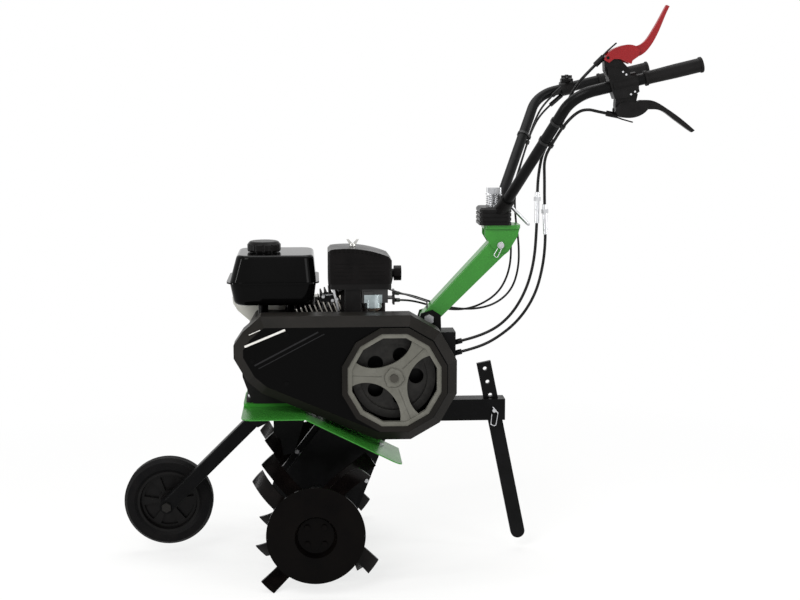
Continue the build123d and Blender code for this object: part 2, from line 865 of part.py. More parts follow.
def chassis_frame():
    bed = upright(
        Pos((bed_front + bed_rear) / 2, 0) * RectangleRounded(bed_rear - bed_front, 2 * bed_half_width, 10),
        bed_bottom,
        bed_top,
    )
    room = case_depth + free_gap
    bed -= span(bed_slot_front, bed_slot_rear, -room, room, bed_bottom, bed_top)
    for side in (-1, 1):
        cheek = polygon(
            (input_axis[0] - 90, bed_top),
            (input_axis[0] + 14, bed_top),
            (input_axis[0] - 4, bed_top + 28),
            (input_axis[0] - 68, bed_top + 28),
        )
        near = case_depth if side > 0 else -case_depth - bracket_sheet
        bed += across(cheek, near, near + bracket_sheet)
    for x_side in (-1, 1):
        for y_side in (-1, 1):
            place = (engine_foot_x + x_side * engine_hole_x, y_side * engine_hole_y)
            bed -= upright(Pos(*place) * Circle(engine_bolt_radius + running_fit), bed_bottom, bed_top)
    half = hitch_width / 2
    hitch = span(hitch_front, hitch_rear, -half, half, bed_bottom - hitch_height, bed_bottom)
    hitch -= span(
        hitch_front + hitch_wall,
        hitch_rear - hitch_wall,
        -half + hitch_wall,
        half - hitch_wall,
        bed_bottom - hitch_height + hitch_wall,
        bed_bottom - hitch_wall,
    )
    slot = Rectangle(bar_width + 2 * free_gap, bar_thickness + 2 * free_gap)
    hitch -= extrude(bar_plane(0) * slot, amount=bar_length)
    pin_room = hitch_pin_radius + running_fit
    hitch -= cross_rod(bar_cross_x, hitch_middle, -half, -half + hitch_wall, pin_room)
    bracket = polygon(
        (arm_pivot_x - 26, bed_bottom),
        (arm_pivot_x + 30, bed_bottom),
        (arm_pivot_x + 20, arm_pivot_z - 12),
        (arm_pivot_x, arm_pivot_z - 22),
        (arm_pivot_x - 20, arm_pivot_z - 10),
    )
    for near in (arm_near - free_gap - bracket_sheet, arm_far + free_gap):
        plate = across(bracket, near, near + bracket_sheet)
        bolt_room = wheel_bolt_radius + running_fit
        plate -= cross_rod(arm_pivot_x, arm_pivot_z, near, near + bracket_sheet, bolt_room)
        bed += plate
    under_fender = bed_bottom - fender_sheet - free_gap
    gusset = polygon(
        (arm_pivot_x + 32, under_fender),
        (fender_bend_x - 28, under_fender),
        (fender_bend_x - 28, bed_bottom + 1),
        (fender_bend_x + 8, bed_bottom + 1),
        (fender_bend_x - 26, axle_height + 100),
        (fender_bend_x - 48, axle_height + 96),
        (fender_bend_x - 54, axle_height + 130),
        (arm_pivot_x + 32, axle_height + 146),
    )
    bed += across(gusset, -gusset_half, gusset_sheet - gusset_half)
    bed += across(gusset, gusset_half - gusset_sheet, gusset_half)
    return bed + hitch


def fender_line(x):
    share = max(0.0, (x - fender_bend_x) / (fender_rear_x - fender_bend_x))
    return bed_bottom - fender_drop * share


def fender():
    sheet = fender_sheet
    slope = math.atan2(fender_drop, fender_rear_x - fender_bend_x)
    drop = sheet / math.cos(slope)
    profile = polygon(
        (bed_front, bed_bottom),
        (fender_bend_x, bed_bottom),
        (fender_rear_x, bed_bottom - fender_drop),
        (fender_rear_x, bed_bottom - fender_drop - drop),
        (fender_bend_x - sheet * math.tan(slope / 2), bed_bottom - sheet),
        (bed_front, bed_bottom - sheet),
    )
    guard = across(profile, -fender_half_width, fender_half_width)
    trim = Pos((bed_front + fender_rear_x) / 2, 0) * RectangleRounded(
        fender_rear_x - bed_front, 2 * fender_half_width, fender_corner
    )
    guard &= upright(trim, 0, bed_top)
    slot_front = fender_bend_x - 30
    guard -= span(slot_front, fender_rear_x, -fender_slot_half, fender_slot_half, 0, bed_top)
    notch_near = arm_near - free_gap - bracket_sheet - free_gap
    notch_far = arm_far + free_gap + bracket_sheet + free_gap
    guard -= span(bed_front, arm_pivot_x + 30 + free_gap, notch_near, notch_far, 0, bed_top)
    for place in fender_bolt_places():
        guard -= upright(Pos(place[0], place[1]) * Circle(engine_bolt_radius + running_fit), 0, bed_top)
    for seat in wing_bolt_seats():
        above = Vector(*seat) + wing_normal * 2
        below = Vector(*seat) - wing_normal * (sheet + 2)
        guard -= rod(above, below, wing_bolt_radius + running_fit)
    return guard


wing_slope = math.atan2(fender_drop, fender_rear_x - fender_bend_x)
wing_normal = Vector(math.sin(wing_slope), 0, math.cos(wing_slope))


def wing_bolt_seats():
    places = []
    for share in (0.14, 0.79):
        x = fender_bend_x + (fender_rear_x - fender_bend_x) * share
        places += [(x, -wing_bolt_y, fender_line(x)), (x, wing_bolt_y, fender_line(x))]
    return places


def fender_bolt_places():
    inner = bed_half_width - 12
    return [(bed_front + 18, -inner), (bed_front + 18, inner), (-60, -inner), (-60, inner)]


def frame_bolts():
    bolts = []
    foot_top = bed_top + engine_foot_height
    for x_side in (-1, 1):
        for y_side in (-1, 1):
            seat = (engine_foot_x + x_side * engine_hole_x, y_side * engine_hole_y, foot_top)
            bolts.append(hex_bolt(seat, (0, 0, 1), engine_bolt_radius, engine_foot_height + bed_sheet))
    for place in case_bolt_places():
        seat = (place.X, -case_flange_thickness, place.Y)
        bolts.append(hex_bolt(seat, (0, -1, 0), case_bolt_radius, 2 * case_flange_thickness))
    for place in fender_bolt_places():
        seat = (place[0], place[1], bed_bottom - fender_sheet)
        bolts.append(hex_bolt(seat, (0, 0, -1), engine_bolt_radius, fender_sheet))
    for seat in wing_bolt_seats():
        bolts.append(hex_bolt(seat, wing_normal, wing_bolt_radius, fender_sheet + 5))
    return bolts


def pivot_pins():
    half = hitch_width / 2
    arm_bolt_near = arm_near - free_gap - bracket_sheet
    arm_bolt_far = arm_far + free_gap + bracket_sheet
    arm_bolt = cross_rod(arm_pivot_x, arm_pivot_z, arm_bolt_near, arm_bolt_far, wheel_bolt_radius)
    seat = Plane(origin=(arm_pivot_x, arm_bolt_far, arm_pivot_z), z_dir=(0, 1, 0))
    arm_bolt += extrude(seat * RegularPolygon(1.7 * wheel_bolt_radius, 6), amount=8)
    pin_end = -bar_thickness / 2 - free_gap
    hitch_pin = cross_rod(bar_cross_x, hitch_middle, -half - 10, pin_end, hitch_pin_radius)
    clip = FilletPolyline(
        (bar_cross_x - 3, -half - 6, hitch_middle + 7),
        (bar_cross_x + 8, -half - 7, hitch_middle - 6),
        (bar_cross_x + 3, -half - 8, hitch_middle - 34),
        (bar_cross_x - 7, -half - 7, hitch_middle - 30),
        (bar_cross_x - 5, -half - 6, hitch_middle - 8),
        radius=3,
    )
    hitch_clip = swept_round(clip, 1.0)
    cheek = column_half_depth + post_sheet
    post_bolt = cross_rod(*column_pivot, -cheek, cheek, 6)
    for side in (-1, 1):
        seat = Plane(origin=(column_pivot[0], side * cheek, column_pivot[1]), z_dir=(0, side, 0))
        post_bolt += extrude(seat * RegularPolygon(11, 6), amount=7)
    head_cheek = column_half_depth + turret_cheek
    head_pin = cross_rod(*column_head, -head_cheek - 9, head_cheek + 6, 5)
    head_pin += cross_rod(*column_head, -head_cheek - 3, -head_cheek, 7)
    x, z = column_head
    head_loop = FilletPolyline(
        (x + 2, -head_cheek - 6, z + 8),
        (x + 2, -head_cheek - 6.5, z - 5),
        (x - 8, -head_cheek - 7, z - 26),
        (x - 15, -head_cheek - 6.5, z - 20),
        (x - 7, -head_cheek - 6, z - 6),
        radius=3,
    )
    return [arm_bolt, hitch_pin + hitch_clip, post_bolt, head_pin + swept_round(head_loop, 1.0)]


# Front wheel
def arm_point(share):
    x = arm_pivot_x + (wheel_axle_x - arm_pivot_x) * share
    z = arm_pivot_z + (wheel_axle_height - arm_pivot_z) * share
    return (x, arm_centre_y, z)


def wheel_arm():
    start = arm_point(0)
    end = arm_point(1)
    run = Vector(*end) - Vector(*start)
    plane = Plane(origin=start, x_dir=(0, 1, 0), z_dir=run)
    inner = arm_tube - 2 * arm_tube_wall
    arm = extrude(plane * RectangleRounded(arm_tube, arm_tube, 3), amount=run.length)
    arm -= extrude(plane * Rectangle(inner, inner), amount=run.length)
    for x, _, z in (start, end):
        arm += cross_rod(x, z, arm_near, arm_far, arm_tube / 2 + 0.8)
    arm -= cross_rod(arm_pivot_x, arm_pivot_z, arm_near, arm_far, wheel_bolt_radius + running_fit)
    wheel_far = wheel_centre_y + wheel_width / 2
    arm += cross_rod(wheel_axle_x, wheel_axle_height, arm_far, wheel_far + 2, wheel_bolt_radius)
    far_seat = Plane(origin=(wheel_axle_x, wheel_far + 2, wheel_axle_height), z_dir=(0, 1, 0))
    near_seat = Plane(origin=(wheel_axle_x, arm_near, wheel_axle_height), z_dir=(0, -1, 0))
    arm += extrude(far_seat * RegularPolygon(1.7 * wheel_bolt_radius, 6), amount=7)
    return arm + extrude(near_seat * RegularPolygon(1.3 * wheel_bolt_radius, 6), amount=7)


def wheel_tyre():
    half = wheel_width / 2
    inner = wheel_radius - tyre_depth
    crown = 7
    near = wheel_centre_y - half
    far = wheel_centre_y + half
    return turned_y(
        wheel_axle_x,
        wheel_axle_height,
        (inner, near + 4),
        (inner + 6, near),
        (wheel_radius - crown, near),
        (wheel_radius, near + 1.6 * crown),
        (wheel_radius, far - 1.6 * crown),
        (wheel_radius - crown, far),
        (inner + 6, far),
        (inner, far - 4),
    )


def wheel_rim():
    half = wheel_width / 2
    outer = wheel_radius - tyre_depth
    near = wheel_centre_y - half
    far = wheel_centre_y + half
    wall = 7.0
    web_near = wheel_centre_y - rim_web / 2
    web_far = wheel_centre_y + rim_web / 2
    bore = wheel_bolt_radius + running_fit
    rim = turned_y(
        wheel_axle_x,
        wheel_axle_height,
        (bore, near),
        (rim_hub_radius, near),
        (rim_hub_radius + 3, web_near),
        (outer - wall, web_near),
        (outer - wall + 2, near + 4),
        (outer, near + 4),
        (outer, far - 4),
        (outer - wall + 2, far - 4),
        (outer - wall, web_far),
        (rim_hub_radius + 3, web_far),
        (rim_hub_radius, far),
        (bore, far),
    )
    step = 360 / rim_pockets
    inner_radius = rim_hub_radius + 7
    outer_radius = outer - wall - 5
    for number in range(rim_pockets):
        wedge = Circle(outer_radius) - Circle(inner_radius)
        side = outer_radius * 2
        spread = math.radians(step / 2 - 10)
        wedge &= polygon((0, 0), polar((0, 0), side, spread), polar((0, 0), side, -spread))
        pocket = Pos(wheel_axle_x, wheel_axle_height) * Rot(0, 0, 90 + number * step) * wedge
        rim -= across(pocket, web_near, web_near + rim_web * 0.6)
        rim -= across(pocket, web_far - rim_web * 0.2, web_far)
    return rim


# Depth bar
def depth_bar():
    half = bar_width / 2
    outline = Pos(0, 0) * Rectangle(bar_width, bar_thickness)
    bar = extrude(bar_plane(0) * outline, amount=bar_length - half)
    low = bar_plane(bar_length - half).origin
    bar += cross_rod(low.X, low.Z, -bar_thickness / 2, bar_thickness / 2, half)
    for number in range(bar_free_holes + 1):
        place = bar_plane(bar_pin_along - number * bar_hole_pitch).origin
        bar -= cross_rod(place.X, place.Z, -bar_thickness / 2, bar_thickness / 2, bar_hole_radius)
    return bar


# Column, post and turret
column_run = Vector(column_head[0] - column_pivot[0], 0, column_head[1] - column_pivot[1])


def column_plane(along):
    origin = Vector(column_pivot[0], 0, column_pivot[1]) + column_run.normalized() * along
    return Plane(origin=origin, x_dir=(0, 1, 0), z_dir=column_run)


def column():
    length = column_run.length
    depth = 2 * column_half_depth
    low = column_plane(0) * RectangleRounded(depth, column_low_width, 3)
    high = column_plane(length) * RectangleRounded(depth, column_high_width, 3)
    tube = loft([low, high])
    inner_depth = depth - 2 * column_wall
    low_room = column_plane(0) * Rectangle(inner_depth, column_low_width - 2 * column_wall)
    high_room = column_plane(length) * Rectangle(inner_depth, column_high_width - 2 * column_wall)
    tube -= loft([low_room, high_room])
    tube += cross_rod(*column_pivot, -column_half_depth, column_half_depth, column_low_width / 2 + 0.5)
    tube += cross_rod(*column_head, -column_half_depth, column_half_depth, column_high_width / 2 + 0.5)
    tube -= cross_rod(*column_pivot, -column_half_depth, column_half_depth, 6 + running_fit)
    return tube - cross_rod(*column_head, -column_half_depth, column_half_depth, 5 + running_fit)


def cable_end(route):
    end = Vector(*route[-1])
    return end, (end - Vector(*route[-2])).normalized()


def column_post():
    x, z = column_pivot
    cheek = polygon(
        (post_front, bed_top),
        (post_rear, bed_top),
        (post_rear + 2, z - 30),
        (x + 25, z + 8),
        (x + 8, z + 19),
        (x - 16, z + 12),
        (x - 22, z - 8),
        (post_front, bed_top + 60),
    )
    near = column_half_depth
    post = across(cheek, near, near + post_sheet) + across(cheek, -near - post_sheet, -near)
    bolt = cross_rod(x, z, -near - post_sheet, near + post_sheet, 6 + running_fit)
    post -= bolt
    post += span(post_front, post_rear, -near - post_sheet, near + post_sheet, bed_top, bed_top + post_sheet)
    web = polygon(
        (post_rear - post_sheet, bed_top),
        (post_rear, bed_top),
        (post_rear + 2, z - 34),
        (post_rear + 2 - post_sheet, z - 34),
    )
    post += across(web, -near - post_sheet, near + post_sheet)
    box_near = cable_box_y - cable_box_half
    post += span(post_rear - 4, cable_box_rear, box_near, -near - post_sheet, cable_box_low, cable_box_high)
    for route in (reverse_cable, forward_cable):
        end, way = cable_end(route)
        post += rod(end + way * 14, end - way * 6, clutch_cable_radius + 2.5)
        post -= rod(end, end - way * 7, clutch_cable_radius + running_fit)
    return post


def turret_head():
    x, z = column_head
    plate = Pos((turret_front + turret_rear) / 2, 0) * RectangleRounded(
        turret_rear - turret_front, 2 * clamp_half_width - 16, 12
    )
    head = upright(plate, turret_top - turret_sheet, turret_top)
    cheek = polygon(
        (turret_front + 2, turret_top - turret_sheet),
        (turret_rear - 2, turret_top - turret_sheet),
        (turret_rear - 6, turret_top - 24),
        (x + 16, z - 14),
        (x - 4, z - 17),
        (x - 18, z - 4),
        (turret_front + 2, turret_top - 22),
    )
    near = column_half_depth
    head += across(cheek, near, near + turret_cheek) + across(cheek, -near - turret_cheek, -near)
    head -= cross_rod(x, z, -near - turret_cheek, near + turret_cheek, 5 + running_fit)
    bolt_hole = Pos(swivel_x, 0) * Circle(swivel_bolt_radius + running_fit)
    return head - upright(bolt_hole, turret_top - turret_sheet, turret_top)


# Handlebar clamp and its swivel
clamp_low = turret_top + free_gap
clamp_top = clamp_low + clamp_height
nut_low = clamp_top + spring_height
lever_axis = (swivel_x + 9, nut_low + clamp_nut_height / 2)


def handle_path(side):
    points = [(x, side * y, z) for x, y, z in (handle_base, handle_bend, handle_end)]
    return FilletPolyline(*points, radius=handle_bend_radius)


def handle_direction(side):
    run = Vector(*handle_bend) - Vector(*handle_base)
    return Vector(run.X, side * run.Y, run.Z).normalized()


def handlebar_clamp():
    block = Pos((clamp_front + clamp_rear) / 2, 0) * RectangleRounded(
        clamp_rear - clamp_front, 2 * clamp_half_width, 10
    )
    clamp = upright(block, clamp_low, clamp_top)
    clamp = chamfer(clamp.faces().sort_by(Axis.Z)[-1].edges(), 4)
    for level in range(3):
        low = clamp_low + 6 + level * 9
        ring = RectangleRounded(clamp_rear - clamp_front + 1, 2 * clamp_half_width + 1, 10.5)
        ring -= RectangleRounded(clamp_rear - clamp_front - 4, 2 * clamp_half_width - 4, 8)
        clamp -= upright(Pos((clamp_front + clamp_rear) / 2, 0) * ring, low, low + 3)
    for side in (-1, 1):
        start = Vector(handle_base[0], side * handle_base[1], handle_base[2])
        direction = handle_direction(side)
        clamp += rod(start - direction * 12, start + direction * socket_length, bar_tube_radius + socket_wall)
    for side in (-1, 1):
        start = Vector(handle_base[0], side * handle_base[1], handle_base[2])
        direction = handle_direction(side)
        clamp -= rod(start, start + direction * (socket_length + 1), bar_tube_radius + running_fit)
    bolt_hole = Pos(swivel_x, 0) * Circle(swivel_bolt_radius + running_fit)
    seat = Pos(swivel_x, 0) * Circle(spring_radius + spring_wire_radius + 1.5)
    clamp -= upright(bolt_hole, clamp_low, clamp_top)
    clamp -= upright(seat, clamp_top, clamp_top + spring_height)
    return clamp & upright(Pos(swivel_x, 0) * Rectangle(300, 300), clamp_low, clamp_top + 80)


def swivel_bolt():
    low = turret_top - turret_sheet
    bolt = upright(Pos(swivel_x, 0) * Circle(swivel_bolt_radius), low - 8, nut_low)
    bolt += upright(Pos(swivel_x, 0) * RegularPolygon(1.7 * swivel_bolt_radius, 6), low - 8, low - free_gap)
    washer = Pos(swivel_x, 0) * Circle(spring_radius + spring_wire_radius + 1)
    bolt += upright(washer, nut_low, nut_low + 2)
    nut = Pos(swivel_x + 4, 0) * RectangleRounded(30, 2 * clamp_lever_half - 2 * clamp_lever_rod - 3, 3)
    bolt += upright(nut, nut_low + 2, nut_low + clamp_nut_height)
    return bolt - cross_rod(*lever_axis, -20, 20, clamp_lever_rod + running_fit)


def biarc(start, start_tangent, end, end_tangent):
    chord = end - start
    both = start_tangent + end_tangent
    reach = 4 - both.dot(both)
    lead = chord.dot(both)
    handle = (math.sqrt(lead * lead + reach * chord.dot(chord)) - lead) / reach
    first = start + start_tangent * handle
    last = end - end_tangent * handle
    middle = (first + last) * 0.5
    tangent = (last - first).normalized()
    return [Edge.make_tangent_arc(start, start_tangent, middle), Edge.make_tangent_arc(middle, tangent, end)]


def clamp_spring():
    low = clamp_top + spring_wire_radius + free_gap
    rise = spring_height - 2 * (spring_wire_radius + free_gap)
    pitch = rise / spring_turns
    quarters = 4 * spring_turns
    climb = pitch / (2 * math.pi)
    stations = []
    for number in range(quarters + 1):
        angle = number * math.pi / 2
        ahead = spring_radius * math.cos(angle)
        aside = spring_radius * math.sin(angle)
        point = Vector(swivel_x + ahead, aside, low + climb * angle)
        tangent = Vector(-aside, ahead, climb).normalized()
        stations.append((point, tangent))
    edges = []
    for before, after in zip(stations, stations[1:]):
        edges += biarc(*before, *after)
    path = Wire(edges)
    least_gap = pitch * math.cos(math.atan2(climb, spring_radius)) - 2 * spring_wire_radius
    print("clamp spring least gap", round(least_gap, 2))
    return swept_round(path, spring_wire_radius)


def clamp_lever():
    x, z = lever_axis
    tip_x = x + clamp_lever_reach[0]
    tip_z = z + clamp_lever_reach[1]
    half = clamp_lever_half
    path = FilletPolyline((x, -half, z), (tip_x, -half, tip_z), (tip_x, half, tip_z), (x, half, z), radius=9)
    rod_loop = swept_round(path, clamp_lever_rod)
    pin = cross_rod(x, z, -half, half, clamp_lever_rod)
    eye = clamp_lever_rod + 0.5
    eyes = cross_rod(x, z, -half - eye, -half + eye, clamp_lever_rod + 2)
    eyes += cross_rod(x, z, half - eye, half + eye, clamp_lever_rod + 2)
    return rod_loop + pin + eyes


# Handlebars, grips and controls
def handlebar(side):
    path = handle_path(side)
    ring = Circle(bar_tube_radius) - Circle(bar_tube_radius - bar_tube_wall)
    return sweep(Plane(origin=path @ 0, z_dir=path % 0) * ring, path=path)


handle_top = Vector(handle_end[0] - handle_bend[0], 0, handle_end[2] - handle_bend[2])


def handle_point(side, share):
    x = handle_bend[0] + handle_top.X * share
    z = handle_bend[2] + handle_top.Z * share
    return Vector(x, side * handle_bend[1], z)


def grip(side):
    end = handle_point(side, 1)
    along = handle_top.normalized()
    bore = bar_tube_radius + running_fit
    length = grip_length
    flange = grip_flange
    points = [
        (0, -4),
        (grip_flange_radius - 1, -4),
        (grip_flange_radius, -3),
        (grip_flange_radius, flange - 4),
        (grip_radius, flange - 3),
        (grip_radius, length * 0.45),
        (grip_waist_radius, length * 0.85),
        (grip_waist_radius, length - flange - 1),
        (grip_flange_radius - 0.6, length - flange),
        (grip_flange_radius - 0.6, length),
        (bore, length),
        (bore, 0),
        (0, 0),
    ]
    profile_plane = Plane(origin=end, x_dir=(0, 1, 0), z_dir=Vector(0, 1, 0).cross(along * -1))
    return revolve(profile_plane * polygon(*points), axis=Axis(end, along * -1))


lever_y = -handle_bend[1]


def handle_room(side):
    return swept_round(handle_path(side), bar_tube_radius + running_fit)


def lever_housing():
    near = lever_y - housing_width / 2
    far = lever_y + housing_width / 2
    tongue_near = lever_y - tongue_width / 2
    tongue_far = lever_y + tongue_width / 2
    shell = polygon(
        (557, 1018),
        (588, 1014),
        (598, 1004),
        (617, 998),
        (619, 977),
        (620, 972),
        (612, 966),
        (598, 961),
        (573, 958),
        (568, 971),
        (560, 998),
    )
    x, z = reverse_pivot
    upper = polygon(
        (x - 5, z - 23),
        (x - 6, z - 5),
        (x - 2, z + 5),
        (x + 8, z + 3),
        (x + 27, z - 5),
        (x + 45, z - 23),
        (x + 42, z - 35),
        (x + 2, z - 37),
    )
    strap = polygon(
        (x - 13, z - 4),
        (x - 7.3, z + 6),
        (x + 2, z + 15.3),
        (x + 17.6, z + 29),
        (x + 19.2, z + 27.2),
        (x + 3.5, z + 13.6),
        (x - 5, z + 4.5),
        (x - 10, z - 5),
    )
    x, z = forward_pivot
    lower = polygon(
        (x - 14, z + 26),
        (x - 15, z + 8),
        (x - 13, z - 7),
        (x - 8, z - 10.5),
        (x - 6.5, z - 6.5),
        (x + 2, z - 6),
        (x + 14, z),
        (x + 24, z + 10),
        (x + 28, z + 30),
    )
    tail = polygon(
        (x - 18, z - 10),
        (x - 13.4, z - 14.5),
        (x + 0.6, z - 19.5),
        (x + 21, z - 25),
        (x + 21.5, z - 22.7),
        (x + 1, z - 17),
        (x - 13, z - 12),
    )
    housing = across(shell, near, far)
    housing += across(upper, tongue_near, tongue_far) + across(lower, tongue_near, tongue_far)
    housing += across(strap, lever_y - 4, lever_y + 4) + across(tail, lever_y - 4, lever_y + 4)
    middle = handle_point(-1, 0.4)
    along = handle_top.normalized()
    housing += rod(middle - along * 24, middle + along * 24, bar_tube_radius + 6)
    for pivot in (reverse_pivot, forward_pivot):
        housing += cross_rod(*pivot, lever_y - lever_width / 2, lever_y + lever_width / 2, lever_pin_radius)
    for route in (reverse_cable, forward_cable):
        start, way = cable_end(route[1::-1])
        housing += rod(start - way * 6, start + way * 16, clutch_cable_radius + 2.5)
        housing -= rod(start - way * 7, start, clutch_cable_radius + running_fit)
    return housing - handle_room(-1)


def lever_form(dome, channel, arm, pivot):
    half = lever_width / 2
    room = lever_room / 2
    lever = across(dome, lever_y - half, lever_y + half)
    lever -= across(channel, lever_y - room, lever_y + room)
    lever += across(arm, lever_y - lever_thickness / 2, lever_y + lever_thickness / 2)
    return lever - cross_rod(*pivot, lever_y - half, lever_y + half, lever_pin_radius + running_fit)


def reverse_lever():
    x, z = reverse_pivot
    crown = Spline(
        (x - 7, z - 3),
        (x - 2, z + 5.5),
        (x + 5, z + 12.6),
        (x + 19, z + 20),
        (x + 36, z + 24.7),
        (x + 53, z + 22),
    )
    base = Polyline(
        (x + 53, z + 22),
        (x + 61, z + 14),
        (x + 57.5, z + 2.4),
        (x + 47, z - 5),
        (x + 45, z - 11),
        (x + 36.5, z - 8),
        (x + 23.6, z - 2),
        (x + 11, z - 2),
        (x + 2.5, z - 9),
        (x - 5, z - 5),
        (x - 7, z - 3),
    )
    channel = polygon(
        (x - 23, z - 25),
        (x - 23, z + 35),
        (x + 3, z + 35),
        (x + 5, z + 8.6),
        (x + 19, z + 16),
        (x + 36, z + 20.5),
        (x + 49, z + 17),
        (x + 52, z + 7),
        (x + 52, z - 25),
    )
    rise = Spline(
        (x + 53, z + 22),
        (x + 69.6, z + 29.3),
        (x + 84, z + 48),
        (x + 98, z + 72.6),
        (x + 112, z + 99),
    )
    tip = Line((x + 112, z + 99), (x + 117.5, z + 96.5))
    fall = Spline(
        (x + 117.5, z + 96.5),
        (x + 108.6, z + 76.8),
        (x + 98.7, z + 52),
        (x + 84.5, z + 25),
        (x + 70, z + 8.6),
        (x + 57.5, z + 2.4),
    )
    heel = Line((x + 57.5, z + 2.4), (x + 53, z + 22))
    dome = make_face([crown, *base.edges()])
    return lever_form(dome, channel, make_face([rise, tip, fall, heel]), reverse_pivot)


def forward_lever():
    x, z = forward_pivot
    keel = Spline(
        (x - 15, z + 2),
        (x - 13, z - 7.5),
        (x - 6, z - 13),
        (x + 7, z - 15.6),
        (x + 24, z - 14),
        (x + 39, z - 7),
        (x + 49, z + 3.6),
    )
    deck = Polyline(
        (x + 49, z + 3.6),
        (x + 46, z + 18.3),
        (x + 37, z + 18.3),
        (x + 22, z + 14),
        (x + 5, z + 15),
        (x - 8, z + 12),
        (x - 15, z + 2),
    )
    channel = polygon(
        (x - 35, z + 37),
        (x - 35, z - 33),
        (x - 5, z - 33),
        (x - 3, z - 8.5),
        (x + 7, z - 11.5),
        (x + 23, z - 10),
        (x + 35, z - 4),
        (x + 40, z + 5),
        (x + 39, z + 37),
    )
    top = Spline(
        (x + 46, z + 18.3),
        (x + 60, z + 16.2),
        (x + 83.6, z + 3.6),
        (x + 105.4, z - 11),
        (x + 125, z - 26),
        (x + 141, z - 39.6),
    )
    tip = Line((x + 141, z - 39.6), (x + 135.5, z - 43.2))
    under = Spline(
        (x + 135.5, z - 43.2),
        (x + 119, z - 32.2),
        (x + 92.6, z - 13.2),
        (x + 71, z - 0.6),
        (x + 58, z + 0.5),
        (x + 47, z + 0.5),
    )
    root = Line((x + 47, z + 0.5), (x + 46, z + 18.3))
    dome = make_face([keel, *deck.edges()])
    return lever_form(dome, channel, make_face([top, tip, under, root]), forward_pivot)


throttle_centre = handle_point(1, throttle_place)
throttle_axis_z = throttle_centre.Z + bar_tube_radius + 12


def throttle_housing():
    along = handle_top.normalized()
    half = throttle_width / 2
    perch = rod(throttle_centre - along * half, throttle_centre + along * half, bar_tube_radius + 5)
    y = throttle_centre.Y
    x = throttle_centre.X
    perch += span(x - 13, x + 13, y - 9, y + 9, throttle_centre.Z, throttle_axis_z - 3)
    perch += upright(Pos(throttle_centre.X, y) * Circle(13), throttle_axis_z - 6, throttle_axis_z - 2)
    perch += upright(Pos(throttle_centre.X, y) * Circle(4), throttle_axis_z - 3, throttle_axis_z + 6)
    for route in (throttle_cable, stop_wire):
        start, way = cable_end(route[1::-1])
        perch += rod(start - way * 4, start + way * 30, throttle_cable_radius + 2.5)
        perch -= rod(start - way * 5, start, throttle_cable_radius + running_fit)
    return perch - handle_room(1)


def throttle_lever():
    y = throttle_centre.Y
    low = throttle_axis_z - 2 + free_gap
    outline = Circle(12) + polygon((-6, 0), (6, 0), (4, 34), (-4, 34)) + Pos(0, 34) * Circle(5)
    lever = upright(Pos(throttle_centre.X, y) * Rot(0, 0, 180) * outline, low, low + 6)
    return lever - upright(Pos(throttle_centre.X, y) * Circle(4 + running_fit), low, low + 6)


# Control cables: routes from the levers to the machine
reverse_cable = [
    (541.0, -220.0, 1026.0),
    (521.0, -219.0, 1006.0),
    (504.0, -210.0, 985.0),
    (492.0, -190.0, 957.0),
    (485.8, -172.7, 919.9),
    (469.5, -144.2, 885.3),
    (455.5, -117.0, 852.0),
    (449.5, -112.0, 815.0),
    (447.0, -112.0, 782.0),
    (447.0, -112.0, 704.0),
    (443.0, -108.0, 630.0),
    (426.0, -100.0, 566.0),
    (392.0, -93.0, 512.0),
    (343.0, -84.0, 479.0),
    (296.0, -72.0, 466.0),
]
forward_cable = [
    (566.0, -220.0, 930.0),
    (545.0, -221.0, 934.0),
    (525.0, -218.0, 939.0),
    (507.0, -207.0, 934.0),
    (485.6, -186.1, 909.0),
    (469.3, -157.6, 874.4),
    (456.0, -133.0, 842.0),
    (459.0, -125.0, 800.0),
    (460.0, -121.0, 758.0),
    (464.5, -117.0, 682.0),
    (461.0, -110.0, 624.0),
    (447.0, -103.0, 564.0),
    (415.0, -95.0, 511.0),
    (370.0, -84.0, 472.0),
    (330.0, -76.0, 452.0),
    (296.0, -70.0, 443.0),
]
throttle_cable = [
    (531.0, 204.0, 965.0),
    (506.0, 197.0, 944.0),
    (482.0, 174.0, 902.0),
    (462.0, 136.0, 858.0),
    (441.0, 99.0, 808.0),
    (427.0, 68.0, 756.0),
    (427.0, 50.0, 706.0),
    (434.0, 43.0, 655.0),
    (434.0, 40.0, 603.0),
    (420.0, 39.0, 556.0),
    (386.0, 39.0, 526.0),
    (341.0, 38.5, 514.5),
    (288.0, 38.0, 518.0),
    (239.0, 34.0, 535.0),
    (197.0, 12.0, 552.0),
    (171.0, -17.0, 559.0),
]
stop_wire = [
    (529.0, 216.0, 945.0),
    (503.0, 207.0, 924.0),
    (478.0, 182.0, 884.0),
    (458.0, 144.0, 840.0),
    (436.0, 106.0, 790.0),
    (420.0, 78.0, 740.0),
    (415.0, 60.0, 692.0),
    (420.0, 52.0, 640.0),
    (414.0, 48.0, 590.0),
    (392.0, 46.0, 548.0),
    (352.0, 45.5, 522.0),
    (310.0, 45.0, 512.0),
    (262.0, 43.0, 518.0),
    (222.0, 32.0, 532.0),
    (194.0, 4.0, 541.0),
    (172.0, -28.0, 546.0),
]
cable_box_rear = 288.0
cable_box_low = 434.0
cable_box_high = 487.0
cable_box_y = -70.0
cable_box_half = 14.0


def route_radii(points):
    radii = []
    for before, here, after in zip(points, points[1:], points[2:]):
        inward = Vector(*here) - Vector(*before)
        outward = Vector(*after) - Vector(*here)
        turn = math.radians(inward.get_angle(outward))
        radii.append(0.45 * min(inward.length, outward.length) / math.tan(turn / 2))
    return radii


def swept_round(path, radius):
    return sweep(Plane(origin=path @ 0, z_dir=path % 0) * Circle(radius), path=path)


def cable_path(points):
    return FilletPolyline(*points, radius=route_radii(points))


